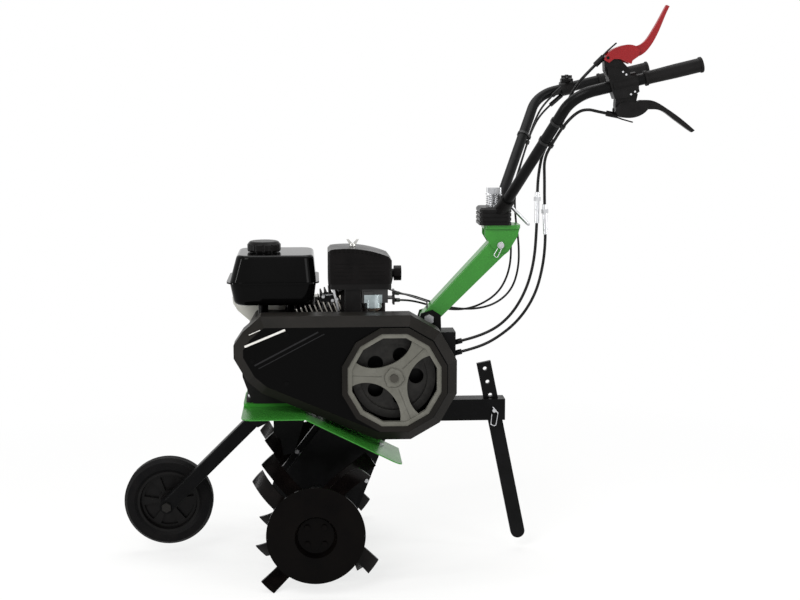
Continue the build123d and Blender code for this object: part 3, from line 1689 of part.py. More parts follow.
def cable(name, points, radius):
    path = cable_path(points)
    solid = swept_round(path, radius)
    share = solid.volume / (math.pi * radius**2 * path.length)
    print(name, "least radius", round(min(route_radii(points)), 1), "length", round(path.length, 1))
    print(name, "volume against section times length", round(share, 4))
    return solid


def control_cables():
    return [
        cable("reverse cable", reverse_cable, clutch_cable_radius),
        cable("forward cable", forward_cable, clutch_cable_radius),
        cable("throttle cable", throttle_cable, throttle_cable_radius),
        cable("stop wire", stop_wire, throttle_cable_radius),
    ]


def adjuster(points, number):
    start = Vector(*points[number])
    end = Vector(*points[number + 1])
    way = (end - start).normalized()
    begin = start + way * 8
    finish = end - way * 8
    bore = clutch_cable_radius + adjuster_room
    barrel = rod(begin, finish, bore + adjuster_wall)
    nut_plane = Plane(origin=begin + way * 10, z_dir=way)
    barrel += extrude(nut_plane * RegularPolygon(bore + adjuster_wall + 2.5, 6), amount=8)
    return barrel - rod(start - way * 20, end + way * 20, bore)


def crossing(points, middle, way):
    for before, after in zip(points, points[1:]):
        start = Vector(*before)
        run = Vector(*after) - start
        share = (middle - start).dot(way) / run.dot(way)
        if 0 <= share <= 1:
            return start + run * share


def cable_clip(share, side, routes, radius):
    base = Vector(handle_base[0], side * handle_base[1], handle_base[2])
    way = handle_direction(side)
    run = (Vector(*handle_bend) - Vector(*handle_base)).length
    middle = base + way * (run * share)
    clip = rod(middle - way * clip_half, middle + way * clip_half, bar_tube_radius + 1.6)
    for points in routes:
        here = crossing(points, middle, way)
        clip += rod(here - way * clip_half, here + way * clip_half, radius + 2)
        clip += rod(middle, here, clip_half - 1)
    for points in routes:
        clip -= swept_round(cable_path(points), radius + clip_room)
    return clip - handle_room(side)


def cable_fittings():
    near_routes = [reverse_cable, forward_cable]
    far_routes = [throttle_cable, stop_wire]
    return [
        adjuster(reverse_cable, 8),
        adjuster(forward_cable, 8),
        cable_clip(0.78, -1, near_routes, clutch_cable_radius),
        cable_clip(0.62, -1, near_routes, clutch_cable_radius),
        cable_clip(0.63, 1, far_routes, throttle_cable_radius),
    ]


# Engine
cylinder_angle = math.radians(cylinder_lean)
cylinder_way = (math.cos(cylinder_angle), 0, math.sin(cylinder_angle))


def cylinder_plane(along):
    origin = (crank[0] + cylinder_way[0] * along, 0, crank[1] + cylinder_way[2] * along)
    return Plane(origin=origin, x_dir=(0, 1, 0), z_dir=cylinder_way)


def crankcase():
    foot_low = engine_foot_x - engine_foot_half
    foot_high = engine_foot_x + engine_foot_half
    foot = upright(
        Pos(engine_foot_x, 0) * RectangleRounded(2 * engine_foot_half, 2 * engine_hole_y + 24, 10),
        bed_top,
        bed_top + engine_foot_height,
    )
    outline = polygon(
        (foot_low + 14, bed_top),
        (crank[0] - 72, crank[1] - 50),
        (crank[0] - 76, crank[1] + 20),
        (crank[0] - 46, crank[1] + crankcase_rise),
        (crank[0] + 34, crank[1] + crankcase_rise),
        (crank[0] + 96, crank[1] + 40),
        (crank[0] + 92, crank[1] - 50),
        (foot_high - 14, bed_top),
    )
    body = across(outline, engine_near, engine_far)
    body = fillet(body.edges().filter_by(Axis.Y), 9)
    body += foot
    face = cylinder_plane(cylinder_start) * Rectangle(300, 300)
    above_foot = upright(Pos(crank[0] + 150, 0) * Rectangle(300, 300), crank[1] - 60, tank_top)
    body -= extrude(face, amount=200) & above_foot
    body += cross_rod(*crank, engine_near - 6, engine_near, 30)
    body -= cross_rod(*crank, engine_near - 6, engine_far, crank_radius + running_fit)
    for x_side in (-1, 1):
        for y_side in (-1, 1):
            place = Pos(engine_foot_x + x_side * engine_hole_x, y_side * engine_hole_y)
            body -= upright(place * Circle(engine_bolt_radius + running_fit), bed_top, bed_top + 30)
            seat = place * Circle(engine_bolt_radius * 2.4)
            body -= upright(seat, bed_top + engine_foot_height, bed_top + 30)
    return body


def cylinder_block():
    fin_zone = fin_count * fin_pitch
    core = Rectangle(84, 92)
    block = extrude(cylinder_plane(cylinder_start) * core, amount=fin_zone + 4)
    middle = (fin_upper - fin_lower) / 2
    for number in range(fin_count):
        fin = Pos(0, middle) * RectangleRounded(fin_width, fin_upper + fin_lower, 12)
        block += extrude(cylinder_plane(cylinder_start + 6 + number * fin_pitch) * fin, amount=fin_thickness)
    head_start = cylinder_start + fin_zone + 4
    block -= span(crank[0], tank_rear - 3, -fin_width, fin_width, tank_low - 2, tank_top)
    head = Pos(0, middle) * RectangleRounded(head_width, fin_upper + fin_lower - 20, 10)
    block += extrude(cylinder_plane(head_start) * head, amount=head_length)
    rocker = Pos(0, middle) * RectangleRounded(86, fin_upper + fin_lower - 44, 14)
    cover = extrude(cylinder_plane(head_start + head_length) * rocker, amount=rocker_length)
    cover = fillet(cover.faces().sort_by(Axis(cylinder_plane(0).origin, cylinder_way))[-1].edges(), 6)
    return block + cover


def crankshaft():
    near = belt_y - pulley_width / 2 - 6
    return cross_rod(*crank, near, engine_far, crank_radius)


def rounded_box(x_low, x_high, y_low, y_high, corner):
    plate = RectangleRounded(x_high - x_low, y_high - y_low, corner)
    return Pos((x_low + x_high) / 2, (y_low + y_high) / 2) * plate


tank_seam = tank_low + tank_lower_height
tank_top = tank_seam + tank_upper_height
straight_sides = (0, 0, 0)


def tank_form(inset, low, high, low_taper, high_taper):
    rim = tank_flange + inset
    faces = []
    for level, taper in ((low, low_taper), (high, high_taper)):
        front, rear, side = taper
        outline = rounded_box(
            tank_front + rim + front,
            tank_rear - rim - rear,
            tank_near + rim + side,
            tank_far - rim - side,
            tank_corner - inset,
        )
        faces.append(Plane.XY.offset(level) * outline)
    return loft(faces)


def seam_flange(low, high):
    ring = rounded_box(tank_front, tank_rear, tank_near, tank_far, 30)
    return upright(ring, low, high)


def fuel_tank_upper():
    shell = tank_form(0, tank_seam, tank_top, straight_sides, tank_upper_taper)
    shell = fillet(shell.faces().sort_by(Axis.Z)[-1].edges(), tank_round)
    shell += seam_flange(tank_seam, tank_seam + tank_seam_sheet)
    neck_top = tank_top + cap_neck_height
    room = tank_form(tank_wall, tank_seam, tank_top - tank_wall, straight_sides, tank_upper_taper)
    shell -= fillet(room.faces().sort_by(Axis.Z)[-1].edges(), tank_round - tank_wall)
    neck = Pos(cap_x, cap_y) * Circle(cap_neck_radius)
    shell += upright(neck, tank_top - tank_wall, neck_top)
    mouth = Pos(cap_x, cap_y) * Circle(cap_neck_radius - 3)
    return shell - upright(mouth, tank_top - 2 * tank_wall, neck_top)


def fuel_tank_lower():
    shell = tank_form(0, tank_low, tank_seam, tank_lower_taper, straight_sides)
    shell = fillet(shell.faces().sort_by(Axis.Z)[0].edges(), tank_round * 1.5)
    shell += seam_flange(tank_seam - tank_seam_sheet, tank_seam)
    room = tank_form(tank_wall, tank_low + tank_wall, tank_seam, tank_lower_taper, straight_sides)
    shell -= fillet(room.faces().sort_by(Axis.Z)[0].edges(), tank_round * 1.5 - tank_wall)
    for x, y in ((crank[0] - 30, -30), (crank[0] - 30, 40), (crank[0] + 24, 40)):
        shell += upright(Pos(x, y) * Circle(9), crank[1] + crankcase_rise, tank_low + tank_wall)
    return shell


def fuel_cap():
    low = tank_top + cap_neck_height + free_gap
    top = low + cap_height
    cap = turned_z(
        cap_x,
        cap_y,
        (0, low),
        (cap_radius - 1.5, low),
        (cap_radius, low + 3),
        (cap_radius, top - 7),
        (cap_radius - 5, top - 1),
        (cap_radius - 8, top),
        (0, top),
    )
    cap += upright(Pos(cap_x, cap_y) * Circle(cap_neck_radius - 3 - free_gap), low - 5, low)
    for number in range(12):
        place = polar((cap_x, cap_y), cap_radius + 2.2, number * math.pi / 6)
        cap -= upright(Pos(*place) * Circle(4), low, top)
    return cap


cleaner_split = cleaner_low + cleaner_base_height
cleaner_top = cleaner_split + cleaner_cover_height


def air_cleaner_base():
    tray = rounded_box(cleaner_front + 1, cleaner_rear - 1, cleaner_near + 1, cleaner_far - 1, 10)
    base = upright(tray, cleaner_low, cleaner_split)
    elbow = span(elbow_front, elbow_rear, elbow_near, elbow_far, cleaner_low - elbow_height, cleaner_low)
    base += fillet(elbow.edges().filter_by(Axis.Z), 5)
    flange_low = cleaner_low - elbow_height * 0.74
    return base + span(
        elbow_front + 4,
        elbow_front + 18,
        elbow_far - 6,
        -head_width / 2,
        flange_low,
        flange_low + 22,
    )


def cleaner_outline(inset):
    front = cleaner_front + inset
    rear = cleaner_rear - inset
    top = cleaner_top - inset
    side = Polyline((rear - 7, top - 16), (rear, top - 25), (rear, cleaner_split), (front, cleaner_split))
    edge = Polyline((front, cleaner_split), (front, top - 7), (front + 5.5, top - 1.6))
    crown = ThreePointArc((front + 5.5, top - 1.6), (front + 54, top), (rear - 7, top - 16))
    return make_face([crown, *side.edges(), *edge.edges()])


def air_cleaner_cover():
    body = across(cleaner_outline(0), cleaner_near, cleaner_far)
    body = fillet(body.edges().filter_by(Axis.Z), 8)
    body -= across(cleaner_outline(cleaner_wall), cleaner_near + cleaner_wall, cleaner_far - cleaner_wall)
    teeth = 11
    pitch = (cleaner_rear - cleaner_front - 30) / teeth
    lip = across(cleaner_outline(0), cleaner_near, cleaner_near + 1.6)
    lip -= Pos(0, 0, -8) * across(cleaner_outline(0), cleaner_near, cleaner_near + 1.6)
    for number in range(teeth):
        x = cleaner_front + 12 + number * pitch
        gap = span(x, x + pitch * 0.5, cleaner_near, cleaner_near + 1.6, cleaner_split, cleaner_top)
        body -= lip & gap
    for number in range(5):
        z = cleaner_split + 8 + number * 8
        body -= span(cleaner_front + 14, cleaner_front + 50, cleaner_near, cleaner_near + 0.8, z, z + 1.6)
        body -= span(cleaner_front + 62, cleaner_rear - 14, cleaner_near, cleaner_near + 0.8, z, z + 1.6)
    y = (cleaner_near + cleaner_far) / 2
    z = cleaner_split + 16
    knob = rod((cleaner_rear, y, z), (cleaner_rear + 6, y, z), 9)
    knob += rod((cleaner_rear + 6, y, z), (cleaner_rear + 21, y, z), 15.5)
    x = cleaner_front + 51
    low = cleaner_top - 0.1
    nut = upright(Pos(x, y) * Circle(6), low, low + 6)
    for side in (-1, 1):
        wing = polygon(
            (x, low + 1),
            (x + side * 6, low + 3),
            (x + side * 13, low + 15),
            (x + side * 8, low + 15),
            (x, low + 6),
        )
        nut += across(wing, y - 1.5, y + 1.5)
    return [body, knob, nut]


def carburettor():
    carb_low = cleaner_low - carb_height
    bowl_low = carb_low - bowl_height / 2
    body = span(elbow_rear, carb_rear, elbow_near + 3, elbow_far, carb_low, cleaner_low)
    body += span(elbow_rear + 4, elbow_rear + 22, elbow_near, elbow_near + 4, carb_low + 8, cleaner_low - 5)
    bowl = turned_z(
        bowl_x,
        bowl_y,
        (0, bowl_low),
        (bowl_radius - 6, bowl_low),
        (bowl_radius, bowl_low + 6),
        (bowl_radius, bowl_low + bowl_height),
        (0, bowl_low + bowl_height),
    )
    plate_top = bowl_low - 10
    bowl += upright(Pos(bowl_x, bowl_y) * RegularPolygon(5, 6), plate_top - 1, bowl_low)
    bowl += span(elbow_rear + 0.5, drip_plate_rear, elbow_near, elbow_near + 38, plate_top - 2, plate_top)
    stay = polygon(
        (carb_rear - 4, cleaner_low),
        (carb_rear + 82, cleaner_low - 28.8),
        (carb_rear + 82, cleaner_low - 44),
        (carb_rear + 79.5, cleaner_low - 44),
        (carb_rear + 79.5, cleaner_low - 30.5),
        (carb_rear - 4, cleaner_low - 2.6),
    )
    body += across(stay, elbow_far - 8, elbow_far)
    bracket = span(carb_rear - 10, carb_rear + 16, elbow_far - 2, -24, 552, 555)
    bracket += span(carb_rear + 12, carb_rear + 16, -40, -14, 538, 568)
    for route in (throttle_cable, stop_wire):
        end, way = cable_end(route)
        bracket += rod(end + way * 10, end - way * 6, throttle_cable_radius + 2)
        bracket -= rod(end, end - way * 7, throttle_cable_radius + running_fit)
    return body + bowl + bracket


def muffler():
    wall = muffler_wall
    box = rounded_box(muffler_front, muffler_rear, muffler_near, muffler_far, 16)
    can = upright(box, muffler_low, muffler_top)
    can = fillet(can.faces().sort_by(Axis.Z)[-1].edges(), 8)
    inside = offset(box, amount=-wall)
    can -= upright(inside, muffler_low + wall, muffler_top - 8)
    for number in range(5):
        z = muffler_low + 15 + number * 13
        can += span(muffler_front + 14, muffler_rear - 14, muffler_far - 1, muffler_far + 3, z, z + 5)
    outlet_y = muffler_far - 33
    outlet_z = muffler_top - 17
    can += rod((muffler_rear - 2, outlet_y, outlet_z), (muffler_rear + 16, outlet_y, outlet_z - 5), 9)
    bore_start = (muffler_rear + 3, outlet_y, outlet_z - 1.4)
    return can - rod(bore_start, (muffler_rear + 18, outlet_y, outlet_z - 5.6), 7)


def blower_housing():
    low = bed_top + blower_lift
    x, z = crank
    outline = polygon(
        (blower_front, blower_top),
        (blower_front + 2, z + 84),
        (blower_front + 11, z + 69),
        (x - 59, z + 45),
        (x - 72, z + 16),
        (x - 72, z - 40),
        (x - 40, low),
        (blower_rear, low),
        (blower_rear, blower_top),
    )
    shroud = across(outline, engine_far, engine_far + blower_depth)
    shroud -= cross_rod(*crank, engine_far + 4, engine_far + blower_depth, recoil_radius - 14)
    return chamfer(shroud.faces().sort_by(Axis.Y)[-1].outer_wire().edges(), 4)


recoil_near = engine_far + blower_depth


def recoil_cover():
    far = recoil_near + recoil_depth
    dome = turned_y(
        *crank,
        (0, far),
        (recoil_radius - 26, far),
        (recoil_radius - 6, far - 12),
        (recoil_radius, recoil_near),
        (recoil_radius - 4, recoil_near),
        (recoil_radius - 9, far - 14),
        (recoil_radius - 28, far - 4),
        (0, far - 4),
    )
    for number in range(recoil_slots):
        angle = 360 * number / recoil_slots
        slot = Pos(recoil_radius * 0.52, 0) * SlotOverall(recoil_radius * 0.46, 8)
        dome -= across(Pos(*crank) * Rot(0, 0, angle) * slot, far - 6, far + 1)
    exit_point = starter_point(0)
    dome += rod(exit_point + starter_way * -26, exit_point + starter_way * -1, 11)
    return dome - rod(exit_point + starter_way * -14, exit_point, 4)


starter_way = Vector(-0.28, 0, 0.96)


def starter_point(distance):
    start = Vector(crank[0], recoil_near + recoil_depth * 0.42, crank[1]) + starter_way * (recoil_radius + 12)
    return start + starter_way * distance


def starter_handle():
    half = starter_grip_length / 2
    stem = rod(starter_point(0), starter_point(14), 6)
    cross_way = Vector(starter_way.Z, 0, -starter_way.X)
    middle = starter_point(20)
    bar = rod(middle - cross_way * (half - 9), middle + cross_way * (half - 9), 10)
    bar += Pos(*(middle - cross_way * (half - 9))) * Sphere(10)
    bar += Pos(*(middle + cross_way * (half - 9))) * Sphere(10)
    return stem + bar


# Every piece by name
pieces = {
    "chassis_frame": chassis_frame(),
    "fender": fender(),
    "chain_case_left": chain_case(-1),
    "chain_case_right": chain_case(1),
    "case_bearings": case_bearings(),
    "drive_chain": drive_chain(),
    "belt_backplate": belt_backplate(),
    "belt_cover": belt_cover(),
    "cover_spider": cover_spider(),
    "drive_belt": drive_belt(),
    "column_post": column_post(),
    "frame_bolts": frame_bolts() + cover_screws(),
    "pivot_pins": pivot_pins(),
    "column": column(),
    "turret_head": turret_head(),
    "crankcase": crankcase(),
    "cylinder_block": cylinder_block(),
    "muffler": muffler(),
    "carburettor": carburettor(),
    "air_cleaner_base": air_cleaner_base(),
    "air_cleaner_cover": air_cleaner_cover(),
    "fuel_tank_lower": fuel_tank_lower(),
    "fuel_tank_upper": fuel_tank_upper(),
    "blower_housing": blower_housing(),
    "recoil_cover": recoil_cover(),
    "crankshaft": crankshaft(),
    "crank_pulley": crank_pulley(),
    "fuel_cap": fuel_cap(),
    "starter_handle": starter_handle(),
    "input_shaft": input_shaft(),
    "driven_pulley": driven_pulley(),
    "tine_shaft": tine_shaft(),
    "inner_tines_left": raise_rotor * inner_tines_left,
    "inner_tines_right": raise_rotor * inner_tines_right,
    "outer_tines_left": raise_rotor * outer_tines_left,
    "outer_tines_right": raise_rotor * outer_tines_right,
    "guard_disc_left": raise_rotor * guard_disc(-1),
    "guard_disc_right": raise_rotor * guard_disc(1),
    "tine_pins": tine_pins(),
    "idler_arm": idler_arm(),
    "idler_pulley": idler_pulley(),
    "wheel_arm": wheel_arm(),
    "wheel_rim": wheel_rim(),
    "wheel_tyre": wheel_tyre(),
    "depth_bar": depth_bar(),
    "handlebar_clamp": handlebar_clamp(),
    "swivel_bolt": swivel_bolt(),
    "clamp_spring": clamp_spring(),
    "clamp_lever": clamp_lever(),
    "handlebar_left": handlebar(-1),
    "handlebar_right": handlebar(1),
    "grip_left": grip(-1),
    "grip_right": grip(1),
    "lever_housing": lever_housing(),
    "forward_lever": forward_lever(),
    "reverse_lever": reverse_lever(),
    "throttle_housing": throttle_housing(),
    "throttle_lever": throttle_lever(),
    "control_cables": control_cables(),
    "cable_fittings": cable_fittings(),
}

# The origin is on the floor below the middle of the machine
front_end = pieces["wheel_tyre"].bounding_box().min.X
rear_end = pieces["grip_left"].bounding_box().max.X
origin_x = (front_end + rear_end) / 2

os.makedirs("parts", exist_ok=True)
for name, shape in pieces.items():
    solids = shape if isinstance(shape, list) else [shape]
    bodies = [body for solid in solids for body in (Pos(-origin_x, 0, 0) * solid).solids()]
    export_step(bodies[0] if len(bodies) == 1 else Compound(children=bodies), f"parts/{name}.step")
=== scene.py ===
# A petrol garden tiller: finishes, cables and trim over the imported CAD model.
from math import radians

import bmesh
import bpy
from mathutils import Matrix, Vector


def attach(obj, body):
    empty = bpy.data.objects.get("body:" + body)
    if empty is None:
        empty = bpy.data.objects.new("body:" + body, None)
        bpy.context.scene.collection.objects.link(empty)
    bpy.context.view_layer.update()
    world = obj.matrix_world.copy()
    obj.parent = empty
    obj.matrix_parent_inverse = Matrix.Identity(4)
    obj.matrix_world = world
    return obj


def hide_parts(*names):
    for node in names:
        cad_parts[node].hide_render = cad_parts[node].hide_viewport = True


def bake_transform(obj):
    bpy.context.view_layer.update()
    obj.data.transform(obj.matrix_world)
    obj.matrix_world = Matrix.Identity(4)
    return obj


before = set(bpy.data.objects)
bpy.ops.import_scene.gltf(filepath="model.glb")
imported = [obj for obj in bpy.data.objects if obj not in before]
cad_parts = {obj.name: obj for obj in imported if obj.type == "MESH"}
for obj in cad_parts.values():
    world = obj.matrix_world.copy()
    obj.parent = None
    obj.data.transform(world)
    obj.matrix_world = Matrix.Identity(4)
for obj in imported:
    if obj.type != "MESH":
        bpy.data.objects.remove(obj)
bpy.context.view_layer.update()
scene = bpy.context.scene

# The CAD model's own X starts at the tine axle, this far ahead of the frame's origin, in millimetres.
AXLE_TO_ORIGIN = 171.6012


def place(x, y, z):
    return Vector((x - AXLE_TO_ORIGIN, y, z)) / 1000


# Finishes. Patches of a surface are this much smoother and rougher than its mean.
SMOOTHEST = 0.85
ROUGHEST = 1.2


def linear(hex_colour):
    channels = [int(hex_colour[i : i + 2], 16) / 255 for i in (1, 3, 5)]
    return [c / 12.92 if c <= 0.04045 else ((c + 0.055) / 1.055) ** 2.4 for c in channels] + [1.0]


def add(tree, kind, inputs, **settings):
    made = tree.nodes.new(kind)
    for name, value in settings.items():
        setattr(made, name, value)
    for socket, value in inputs.items():
        if isinstance(value, bpy.types.NodeSocket):
            tree.links.new(value, made.inputs[socket])
        else:
            made.inputs[socket].default_value = value
    return made


def finish(
    name,
    colour,
    drift,
    roughness,
    metallic=0.0,
    specular=0.5,
    coat=0.0,
    grain=(1.0, 0.01),
    patch=50.0,
    zones=(),
):
    # drift is the colour that the surface wanders to in patches, patch the patches' size in mm,
    # and grain the size and height in mm of the texture that can be felt.
    # A zone is a part of the piece with another colour: its tests on position, colour, metal and roughness.
    material = bpy.data.materials.new(name)
    material.use_nodes = True
    tree = material.node_tree
    tree.nodes.clear()
    where = add(tree, "ShaderNodeTexCoord", {}).outputs["Object"]
    patches = add(
        tree, "ShaderNodeTexNoise", {"Vector": where, "Scale": 1000 / patch, "Detail": 5.0, "Roughness": 0.6}
    ).outputs["Fac"]
    feel = add(
        tree, "ShaderNodeTexNoise", {"Vector": where, "Scale": 1000 / grain[0], "Detail": 2.0}
    ).outputs["Fac"]
    blotch = add(
        tree,
        "ShaderNodeMapRange",
        {"Value": patches, "From Min": 0.35, "From Max": 0.7, "To Min": 0.0, "To Max": 1.0},
    ).outputs["Result"]
    base = add(
        tree,
        "ShaderNodeMix",
        {0: blotch, 6: linear(colour), 7: linear(drift)},
        data_type="RGBA",
    ).outputs[2]
    gloss = add(
        tree,
        "ShaderNodeMapRange",
        {
            "Value": patches,
            "From Min": 0.3,
            "From Max": 0.7,
            "To Min": roughness * SMOOTHEST,
            "To Max": min(1.0, roughness * ROUGHEST),
        },
    ).outputs["Result"]
    metal = metallic
    metal_varies = any(zone_metal != metallic for _, _, zone_metal, _ in zones)
    if zones:
        axes = add(tree, "ShaderNodeSeparateXYZ", {0: where})
    for tests, zone_colour, zone_metal, zone_roughness in zones:
        inside = None
        for axis, test, limit in tests:
            passed = add(
                tree, "ShaderNodeMath", {0: axes.outputs[axis], 1: limit}, operation=test
            ).outputs[0]
            if inside is not None:
                passed = add(tree, "ShaderNodeMath", {0: inside, 1: passed}, operation="MULTIPLY").outputs[0]
            inside = passed
        base = add(
            tree, "ShaderNodeMix", {0: inside, 6: base, 7: linear(zone_colour)}, data_type="RGBA"
        ).outputs[2]
        gloss = add(tree, "ShaderNodeMix", {0: inside, 2: gloss, 3: zone_roughness}).outputs[0]
        if metal_varies:
            metal = add(tree, "ShaderNodeMix", {0: inside, 2: metal, 3: zone_metal}).outputs[0]
    bump = add(
        tree,
        "ShaderNodeBump",
        {"Height": feel, "Strength": 1.0, "Distance": grain[1] / 1000},
    ).outputs["Normal"]
    surface = add(
        tree,
        "ShaderNodeBsdfPrincipled",
        {
            "Base Color": base,
            "Roughness": gloss,
            "Metallic": metal,
            "Specular IOR Level": specular,
            "Coat Weight": coat,
            "Normal": bump,
        },
    )
    add(tree, "ShaderNodeOutputMaterial", {"Surface": surface.outputs[0]})
    return material


# Where a piece changes its finish, in metres along the frame's axes
AXLE_BOLT_SEAT = -0.0364
BED_UNDERSIDE = 0.3316
BED_REAR = 0.094
# The cover's flat front, where the moulding is painted darker as shade
SHADED_COVER_FRONT = (-0.1604, -0.1596)
WING_NUT_SEAT = 0.6601
COVER_SCREW_SEAT = -0.155
HUB_BOLT_SEAT = -0.14
HUB_BOLT_X = (-0.033, 0.007)
HUB_BOLT_Z = (0.385, 0.425)
ADJUSTER_TOP = 0.79
FIN_EDGE = 0.0511
FIN_REAR = -0.117
BOWL_X = (-0.0698, -0.0333)
BOWL_Z = (0.5218, 0.5648)

# Colours that more than one finish has: a mean and what it drifts to
POWDER = ("#080808", "#0E0E0F")
ZINC = ("#C8C9CB", "#A9AAAC")
GREEN = "#347F2C"

# Baked powder coat: a fine orange peel, about 1.5 mm across, that softens every reflection.
black_powder_coat = finish("black_powder_coat", *POWDER, 0.34, specular=0.08, grain=(1.6, 0.01), patch=40)
# The front arm wears the same coat; its axle bolt is oxide-blacked steel, a dull dark grey.
arm_powder_coat = finish(
    "arm_powder_coat",
    *POWDER,
    0.34,
    specular=0.04,
    grain=(1.6, 0.01),
    patch=40,
    zones=[([("Y", "LESS_THAN", AXLE_BOLT_SEAT)], "#262524", 0.7, 0.4)],
)
# Wet-sprayed enamel on the tines: glossier than powder, with a faint brown cast where it is thin.
tine_enamel = finish(
    "tine_enamel", "#050404", "#0D0908", 0.24, specular=0.08, grain=(3.0, 0.008), patch=25
)
# The guard discs wear a darker copy of the tine enamel, with weaker reflection: painted shade, so their flat
# faces stay a deeper black.
shaded_disc_enamel = finish(
    "shaded_disc_enamel", "#040303", "#080605", 0.2, specular=0.04, grain=(3.0, 0.008), patch=60
)
# Gloss enamel on folded steel sheet: a clear green with a slow ripple from the spray gun.
green_enamel = finish(
    "green_enamel", GREEN, "#2E7427", 0.26, specular=0.3, grain=(4.0, 0.012), patch=90
)
# The frame wears both: green on the bed, black powder coat on the hitch and brackets under it.
bed_and_hitch_coat = finish(
    "bed_and_hitch_coat",
    *POWDER,
    0.34,
    specular=0.06,
    grain=(2.0, 0.01),
    zones=[([("Z", "GREATER_THAN", BED_UNDERSIDE), ("X", "LESS_THAN", BED_REAR)], GREEN, 0.0, 0.28)],
)
# Deep-drawn tank steel under thick gloss lacquer: long clean highlights at the corners.
tank_lacquer = finish(
    "tank_lacquer", "#030303", "#060606", 0.1, specular=0.05, coat=0.03, grain=(8.0, 0.01), patch=120
)
# Injection-moulded polypropylene with a spark-eroded grain: dull, slightly warm black.
# The flat front of the cover is smoother and near black: painted shade, darker than the chamfers and sides
# that catch the light.
cover_moulding = finish(
    "cover_moulding",
    "#191816",
    "#1F1D1B",
    0.36,
    specular=0.05,
    grain=(0.9, 0.01),
    patch=70,
    zones=[
        # painted shade on the flat front of the cover
        ([("Y", "LESS_THAN", SHADED_COVER_FRONT[1]), ("Y", "GREATER_THAN", SHADED_COVER_FRONT[0])], "#030303", 0.0, 0.3)
    ],
)
# Glass-filled nylon: hard grey moulding with a dusty drift from its flow lines.
spider_nylon = finish(
    "spider_nylon", "#65645D", "#57564F", 0.48, specular=0.2, grain=(1.2, 0.02), patch=45
)
# Black ABS mouldings on the engine and controls: an even satin.
satin_moulding = finish(
    "satin_moulding", "#0A0909", "#121111", 0.32, specular=0.1, grain=(0.8, 0.008), patch=30
)
# The air cleaner is the same moulding, with its zinc wing nut on top.
cleaner_moulding = finish(
    "cleaner_moulding",
    "#080707",
    "#0F0D0D",
    0.28,
    specular=0.07,
    grain=(0.8, 0.008),
    patch=40,
    zones=[([("Z", "GREATER_THAN", WING_NUT_SEAT)], "#C9C8C4", 1.0, 0.32)],
)
# Red moulded lever: coloured through, with a soft sheen.
lever_red = finish("lever_red", "#861A1E", "#79161A", 0.36, specular=0.18, grain=(0.9, 0.008), patch=35)
# Vinyl grips and belts: rubber that scatters almost everything.
grip_rubber = finish("grip_rubber", "#0D0C0C", "#141313", 0.55, specular=0.1, grain=(0.7, 0.03), patch=20)
# Tyre rubber: a shade greyer, with moulding dust in its pores.
tyre_rubber = finish("tyre_rubber", "#09090A", "#111010", 0.55, specular=0.05, grain=(1.4, 0.04), patch=30)
# Zinc plate over turned steel: bright, a little blue, with fine haze.
zinc_plate = finish("zinc_plate", *ZINC, 0.3, metallic=1.0, grain=(0.6, 0.004), patch=9)
# Frame bolts are zinc too, but the screws of the belt cover are black oxide and hardly show,
# and the bolt in the middle of the spoked insert is dull grey steel.
bolt_plate = finish(
    "bolt_plate",
    *ZINC,
    0.3,
    metallic=1.0,
    specular=0.05,
    grain=(0.6, 0.004),
    patch=9,
    zones=[
        ([("Y", "LESS_THAN", COVER_SCREW_SEAT)], "#050505", 0.0, 0.4),
        (
            [
                ("Y", "LESS_THAN", HUB_BOLT_SEAT),
                ("Y", "GREATER_THAN", COVER_SCREW_SEAT),
                ("X", "GREATER_THAN", HUB_BOLT_X[0]),
                ("X", "LESS_THAN", HUB_BOLT_X[1]),
                ("Z", "GREATER_THAN", HUB_BOLT_Z[0]),
                ("Z", "LESS_THAN", HUB_BOLT_Z[1]),
            ],
            "#4A4843",
            1.0,
            0.45,
        ),
    ],
)
# Cable hardware: zinc adjuster barrels, and black nylon clips above them.
cable_hardware = finish(
    "cable_hardware",
    "#0E0E0E",
    "#161616",
    0.4,
    specular=0.25,
    grain=(0.6, 0.004),
    patch=9,
    zones=[([("Z", "LESS_THAN", ADJUSTER_TOP)], ZINC[0], 1.0, 0.3)],
)
# Bright drawn steel, oiled: shafts, chain and idler.
oiled_steel = finish(
    "oiled_steel", "#8D8B87", "#6F6C68", 0.36, metallic=1.0, grain=(0.5, 0.005), patch=12
)
# Grey cast iron with a turned face: dark and slightly streaky.
pulley_iron = finish(
    "pulley_iron", "#262523", "#1B1A19", 0.4, metallic=0.7, grain=(1.0, 0.02), patch=14
)
# Die-cast aluminium painted black for the crankcase: a sandy skin.
cast_black = finish(
    "cast_black", "#0E0D0D", "#171615", 0.5, specular=0.12, grain=(1.8, 0.05), patch=25
)
# The cylinder is the same casting; the fins' machined edges are bare metal.
finned_casting = finish(
    "finned_casting",
    "#110F0F",
    "#1C1A19",
    0.5,
    specular=0.12,
    grain=(1.6, 0.05),
    patch=20,
    zones=[
        ([("Y", test, edge), ("X", "LESS_THAN", FIN_REAR)], "#B9B5AD", 1.0, 0.4)
        for test, edge in (("LESS_THAN", -FIN_EDGE), ("GREATER_THAN", FIN_EDGE))
    ],
)
# Die-cast zinc float bowl, pale from its chromate wash; black body and stay; a copper drip plate below.
carburettor_casting = finish(
    "carburettor_casting",
    "#A7B1B3",
    "#879294",
    0.36,
    metallic=0.9,
    grain=(1.0, 0.02),
    patch=10,
    zones=[
        ([("Z", "GREATER_THAN", BOWL_Z[1])], "#131212", 0.0, 0.4),
        ([("X", "GREATER_THAN", BOWL_X[1])], "#131212", 0.0, 0.4),
        ([("X", "LESS_THAN", BOWL_X[0])], "#131212", 0.0, 0.4),
        ([("Z", "LESS_THAN", BOWL_Z[0])], "#B07A52", 0.9, 0.36),
    ],
)
# Light grey stove paint on the pressed blower housing.
blower_paint = finish(
    "blower_paint", "#BDBCB4", "#B1B0A8", 0.42, specular=0.4, grain=(2.5, 0.015), patch=60
)
